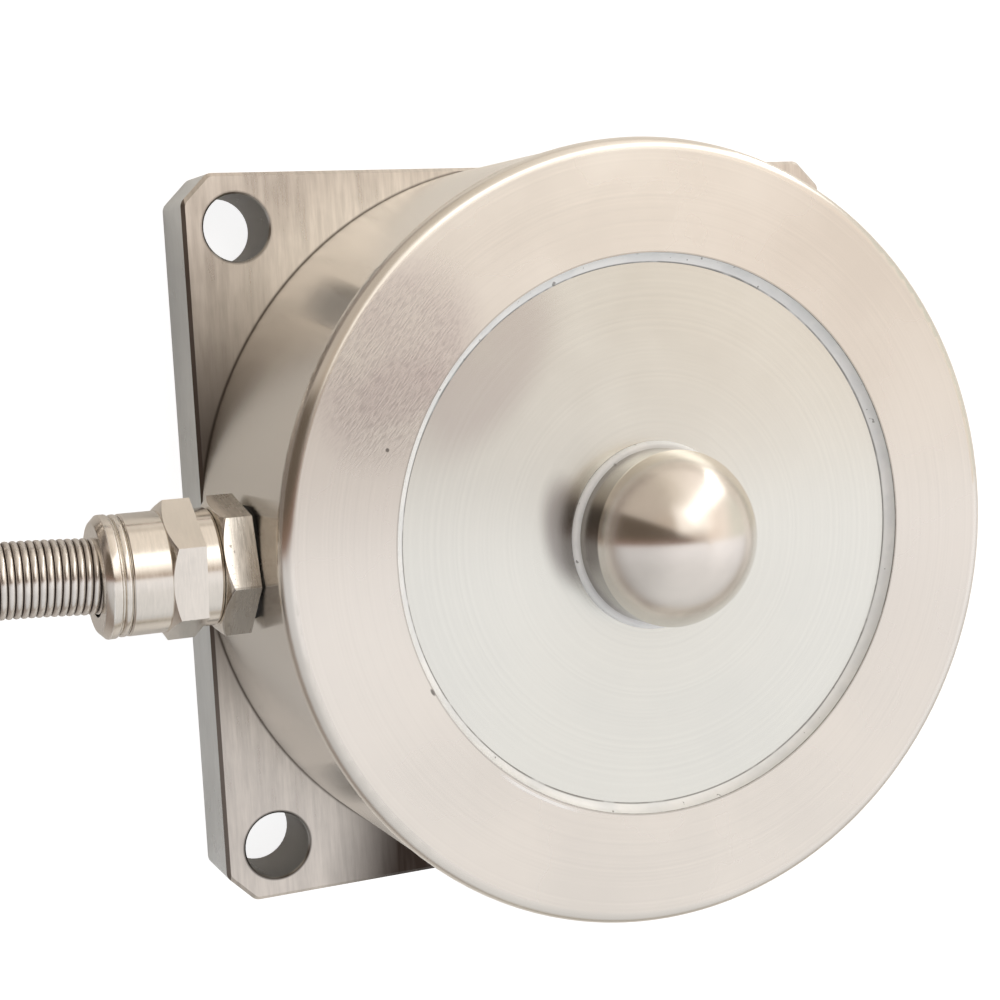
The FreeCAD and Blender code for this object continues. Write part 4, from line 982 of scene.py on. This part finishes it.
class LOADCELL_OT_body(bpy.types.Operator):
    """Finishes the base plate, the drum, the cover discs and the pieces between them"""

    bl_idname = "load_cell.body"
    bl_label = "Body and plate"

    def execute(self, context):
        dress_node("base_plate", plate_finish())
        dress_node("sensing_body", body_finish())
        dress_node("load_button", button_finish())
        cover = cover_finish()
        rubber = plain_finish("black_rubber", (0.03, 0.03, 0.03), 0.6)
        screws = plain_finish("screw_steel", (0.55, 0.54, 0.52), 0.35, metallic=1.0)
        for name, finish in (
            ("cover_disc", cover),
            ("lower_cover_disc", cover),
            ("base_gasket", rubber),
            ("cable_grommet", rubber),
            ("base_screws", screws),
        ):
            dress_node(name, finish)
        return {"FINISHED"}


class LOADCELL_OT_inside(bpy.types.Operator):
    """Finishes the gauges, their wires, the board and the cores inside the drum"""

    bl_idname = "load_cell.inside"
    bl_label = "Gauges and wiring"

    def execute(self, context):
        for node, (name, shade, roughness) in INSIDE.items():
            dress_node(node, plain_finish(name, shade, roughness))
        return {"FINISHED"}


class LOADCELL_OT_seals(bpy.types.Operator):
    """Lays the two silicone beads on the cover disc"""

    bl_idname = "load_cell.seals"
    bl_label = "Silicone beads"

    def execute(self, context):
        silicone = seal_finish()
        soft_ring(
            "silicone_fillet", self.fillet_corners(), 0.05 * MM, silicone, "outer_seal_bead"
        )
        soft_ring("silicone_bead", self.bead_corners(), 0.1 * MM, silicone, "button_seal_bead")
        return {"FINISHED"}

    def fillet_corners(self):
        """A hollow slope from the cover disc up to the ring's edge."""
        toe = SEAL_RADIUS - FILLET_REACH
        rise = FACE - FILLET_DROP - COVER_TOP
        corners = []
        for k in range(BEAD_STEPS + 1):
            share = k / BEAD_STEPS
            hollow = FILLET_HOLLOW * math.sin(math.pi * share) * FILLET_LEAN
            corners.append((toe + FILLET_REACH * share + hollow, COVER_TOP + rise * share - hollow))
        return [*corners, (SEAL_RADIUS, COVER_TOP)]

    def bead_corners(self):
        """A quarter round against the button's foot."""
        shoulder = BUTTON_BEAD_RADIUS - BEAD_RISE
        corners = [(BUTTON_RADIUS, COVER_TOP)]
        for k in range(BEAD_STEPS + 1):
            angle = math.pi / 2 * k / BEAD_STEPS
            across, up = BEAD_RISE * math.cos(angle), BEAD_RISE * math.sin(angle)
            corners.append((shoulder + across, COVER_TOP + up))
        return [*corners, (BUTTON_RADIUS, COVER_TOP + BEAD_RISE)]


class LOADCELL_OT_gland(bpy.types.Operator):
    """Makes the gland with worn edges, its thin washer and the conduit's end pieces"""

    bl_idname = "load_cell.gland"
    bl_label = "Cable gland"

    def execute(self, context):
        finish = gland_finish()
        dress_node("clamp_ring", finish)
        washer_face = WASHER_BOX[0].x
        thin_face = washer_face + WASHER_LIFT
        foot = [(washer_face - HEXAGON_FOOT, washer_face, HEXAGON_RADIUS, thin_face)]
        nut_back = [(NUT_FACE, NUT_FACE, 0, NUT_FACE + NUT_SETBACK)]
        ring_back = [(RING_FACE, RING_FACE, RING_RADIUS, RING_FACE + RING_SETBACK)]
        for name, node, width, moves, bore in (
            ("gland_hexagon", "gland_body", 0.16 * MM, foot, None),
            ("clamping_nut", "gland_nut", 0.12 * MM, nut_back, None),
            ("conduit_rings", "conduit_adaptor", 0.12 * MM, ring_back, TIGHT_BORE),
            ("crimped_ferrule", "end_ferrule", 0.15 * MM, [], None),
        ):
            shape = eased_copy(node, width, moves, bore)
            piece = add_piece(name, shape, finish, "plated_brass", node)
            piece.modifiers.new("even_shading", "WEIGHTED_NORMAL").keep_sharp = True
        washer = eased_copy("gland_washer", 0.04 * MM, [(washer_face, washer_face, 0, thin_face)])
        smaller = Matrix.Diagonal((1, WASHER_SCALE, WASHER_SCALE, 1))
        to_axis = Matrix.Translation((0, 0, -GLAND_HEIGHT))
        washer.transform(to_axis.inverted() @ smaller @ to_axis)
        rubber = bpy.data.materials["black_rubber"]
        add_piece("thin_washer", washer, rubber, "black_rubber", "gland_washer")
        return {"FINISHED"}


class LOADCELL_OT_conduit(bpy.types.Operator):
    """Makes the ridged conduit from the gland through its coil to the ferrule"""

    bl_idname = "load_cell.conduit"
    bl_label = "Ridged conduit"

    def execute(self, context):
        line = route_line(conduit_route())
        piece = add_piece(
            "ridged_conduit", conduit_shape(Walk(line)), conduit_finish(), "conduit_steel",
            "steel_conduit", "conduit_coil",
        )
        return {"FINISHED"}


class LOADCELL_OT_free_end(bpy.types.Operator):
    """Makes the cable's bare end with its four leads and the shield drain"""

    bl_idname = "load_cell.free_end"
    bl_label = "Free end"

    def add_cord(self, name, points, width, material, slot, real_length, stiffness="medium"):
        """A round cord along a route, in place of the CAD node of its name."""
        curve = route_curve(name + "_line", points)
        curve.bevel_depth = width / 2
        curve.bevel_resolution = 5
        curve.use_fill_caps = True
        piece = add_object(name + "_line", curve, material, slot, name)

    def execute(self, context):
        tail = at_offsets(conduit_route()[-1], TAIL_ROUTE)
        sheath = plain_finish("cable_sheath", (0.16, 0.16, 0.17), 0.5)
        self.add_cord("cable_tail", tail, TAIL_WIDTH, sheath, "cable_sheath", TAIL_LENGTH)
        for name, route in LEAD_ROUTES.items():
            slot = name.replace("lead_", "") + "_insulation"
            finish = plain_finish(slot, LEAD_COLOURS[name], 0.4)
            lead = at_offsets(tail[-1], route)
            self.add_cord(name, lead, LEAD_WIDTH, finish, slot, LEAD_LENGTH)
        tin = plain_finish("tinned_copper", (0.72, 0.71, 0.69), 0.3, metallic=1.0)
        drain = at_offsets(tail[-1], DRAIN_ROUTE)
        self.add_cord(
            "shield_drain", drain, DRAIN_WIDTH, tin, "tinned_copper", DRAIN_LENGTH, "limp"
        )
        return {"FINISHED"}


class LOADCELL_OT_stage(bpy.types.Operator):
    """Lays the floor, hangs the light and sets up the camera"""

    bl_idname = "load_cell.stage"
    bl_label = "Stage"

    def execute(self, context):
        scene = context.scene
        self.add_floor(scene)
        self.add_world(scene)
        self.add_window(scene)
        self.add_camera(scene)
        scene.view_settings.view_transform = "Standard"
        return {"FINISHED"}

    def add_floor(self, scene):
        """A pale floor. It glows only for the camera, and the metal mirrors a shaded table."""
        stage = scene.load_cell.stage
        shape = bmesh.new()
        bmesh.ops.create_grid(shape, x_segments=1, y_segments=1, size=FLOOR_REACH)
        mesh = bpy.data.meshes.new("floor")
        shape.to_mesh(mesh)
        shape.free()
        floor = bpy.data.objects.new("floor", mesh)
        scene.collection.objects.link(floor)
        floor.location.z = CAD_BOX[0].z - FLOOR_GAP
        finish = Finish("floor", roughness=0.9)
        lengthways = (finish.place.part(1) + 0.5).ramp(*TABLE_STOPS)
        not_left = finish.place.part(0).between(-0.14, -0.02)
        finish.paint("Base Color", not_left.blend(TABLE_LEFT, lengthways))
        finish.surface.inputs["Emission Color"].default_value = (1, 1, 1, 1)
        finish.surface.inputs["Emission Strength"].default_value = TABLE_GLOW
        shown = finish.root.add("BsdfPrincipled", None, {
            "Base Color": (*stage.floor_colour, 1),
            "Roughness": 0.9,
            "Emission Color": (1, 1, 1, 1),
            "Emission Strength": stage.floor_glow,
        })
        seen = finish.root.add("LightPath", output=0)
        table = Shader(finish.tree, finish.surface.outputs[0])
        mixed = finish.root.add("MixShader", None, {0: seen, 1: table, 2: shown})
        output = finish.tree.nodes["Material Output"]
        finish.tree.links.new(mixed.socket, output.inputs["Surface"])
        mesh.materials.append(finish.material)

    def room_behind(self, direction, across, along, up):
        """A warm room, brighter to the right, with a brown wedge, a glow overhead and an arc."""
        sideways = across * 0.5 + 0.5
        far = lit_ramp(sideways, FAR_STOPS)
        room = lit_ramp(sideways, ROOM_STOPS)
        warm = up.between(0.6, 0.85).blend(room, room.stretch(*WARM_TINT))
        around = along.between(0.35, 0.85).blend(warm, far)
        wedge = (across * -0.45 - along + 0.13).between(-0.05, 0.07)
        wedge = wedge * (1 - across.between(0.0, 0.23))
        brown = along.between(-0.1, 0.12).blend(lit(BROWN_NEAR), lit(BROWN_FAR))
        overhead = up.between(0.65, 0.85) * across.between(-0.25, -0.1)
        glow = (along.between(0.04, 0.08) * 0.25 + along.between(0.1, 0.25) * 0.75) * overhead
        glowing = glow.blend(wedge.blend(around, brown), lit(OVERHEAD_GLOW))
        beside = abs(direction.dot(ARC_ACROSS)).between(0.1, 0.2)
        arc = (1 - beside) * direction.dot(ARC_MIDDLE).between(0.75, 0.85)
        return arc.blend(glowing, lit(ARC_GLOW))

    def add_world(self, scene):
        """A white front and a warm room behind. The camera sees plain white."""
        world = bpy.data.worlds.new("studio")
        world.use_nodes = True
        tree = world.node_tree
        root = Shader(tree)
        direction = root.add("TexCoord", output=0)
        across, along, up = direction.parts()
        front = lit_ramp(along * 0.5 + 0.5, FRONT_STOPS)
        right = across.between(0.4, 0.65) * up.between(0.4, 0.7) * 0.12 + 1
        left = across.between(-0.8, 0.0) * 0.28 + 0.72
        before = front.scaled(right * left * (up.between(-0.1, 0.3) * 0.25 + 0.75))
        behind = self.room_behind(direction, across, along, up)
        studio = along.between(-0.1, -0.04).blend(before, behind)
        seen = root.add("LightPath", output=0)
        shown = seen.blend(studio, lit((1, 1, 1)))
        background = tree.nodes["Background"]
        background.inputs["Strength"].default_value = WORLD_STRENGTH
        tree.links.new(shown.socket, background.inputs["Color"])
        scene.world = world

    def add_window(self, scene):
        """The one lamp: a soft window low at the upper right."""
        lamp = bpy.data.lights.new("window", "AREA")
        lamp.shape = "RECTANGLE"
        lamp.size, lamp.size_y = WINDOW_SIZE
        lamp.energy = scene.load_cell.stage.window_power
        lamp.color = WINDOW_COLOUR
        holder = bpy.data.objects.new("window", lamp)
        holder.location = WINDOW_PLACE
        holder.rotation_euler = (-WINDOW_PLACE).to_track_quat("-Z", "Y").to_euler()
        scene.collection.objects.link(holder)

    def add_camera(self, scene):
        lens = bpy.data.cameras.new("camera")
        lens.lens = scene.load_cell.stage.lens
        lens.sensor_width = SENSOR_WIDTH
        lens.clip_start = 10 * MM
        camera = bpy.data.objects.new("camera", lens)
        right = CAMERA_AIM.cross(CAMERA_UP).normalized()
        upright = right.cross(CAMERA_AIM).normalized()
        turn = Matrix((right, upright, -CAMERA_AIM.normalized())).transposed()
        camera.matrix_world = Matrix.Translation(CAMERA_PLACE) @ turn.to_4x4()
        scene.collection.objects.link(camera)
        scene.camera = camera


class LOADCELL_PT_pieces(bpy.types.Panel):
    """Lists the operators in the sidebar"""

    bl_label = "Load Cell"
    bl_idname = "LOADCELL_PT_pieces"
    bl_space_type = "VIEW_3D"
    bl_region_type = "UI"
    bl_category = "Load Cell"

    def draw(self, context):
        for operator in OPERATORS:
            self.layout.operator(operator.bl_idname)


OPERATORS = (
    LOADCELL_OT_body,
    LOADCELL_OT_inside,
    LOADCELL_OT_seals,
    LOADCELL_OT_gland,
    LOADCELL_OT_conduit,
    LOADCELL_OT_free_end,
    LOADCELL_OT_stage,
)
CLASSES = (
    LoadCellStage,
    LoadCellMetal,
    LoadCellConduit,
    LoadCellSettings,
    *OPERATORS,
    LOADCELL_PT_pieces,
)


def register():
    for item in CLASSES:
        bpy.utils.register_class(item)
    bpy.types.Scene.load_cell = PointerProperty(type=LoadCellSettings)


def unregister():
    del bpy.types.Scene.load_cell
    for item in reversed(CLASSES):
        bpy.utils.unregister_class(item)


def main():
    register()
    bpy.ops.load_cell.body()
    bpy.ops.load_cell.inside()
    bpy.ops.load_cell.seals()
    bpy.ops.load_cell.gland()
    bpy.ops.load_cell.conduit()
    bpy.ops.load_cell.free_end()
    bpy.ops.load_cell.stage()


if __name__ == "__main__":
    main()
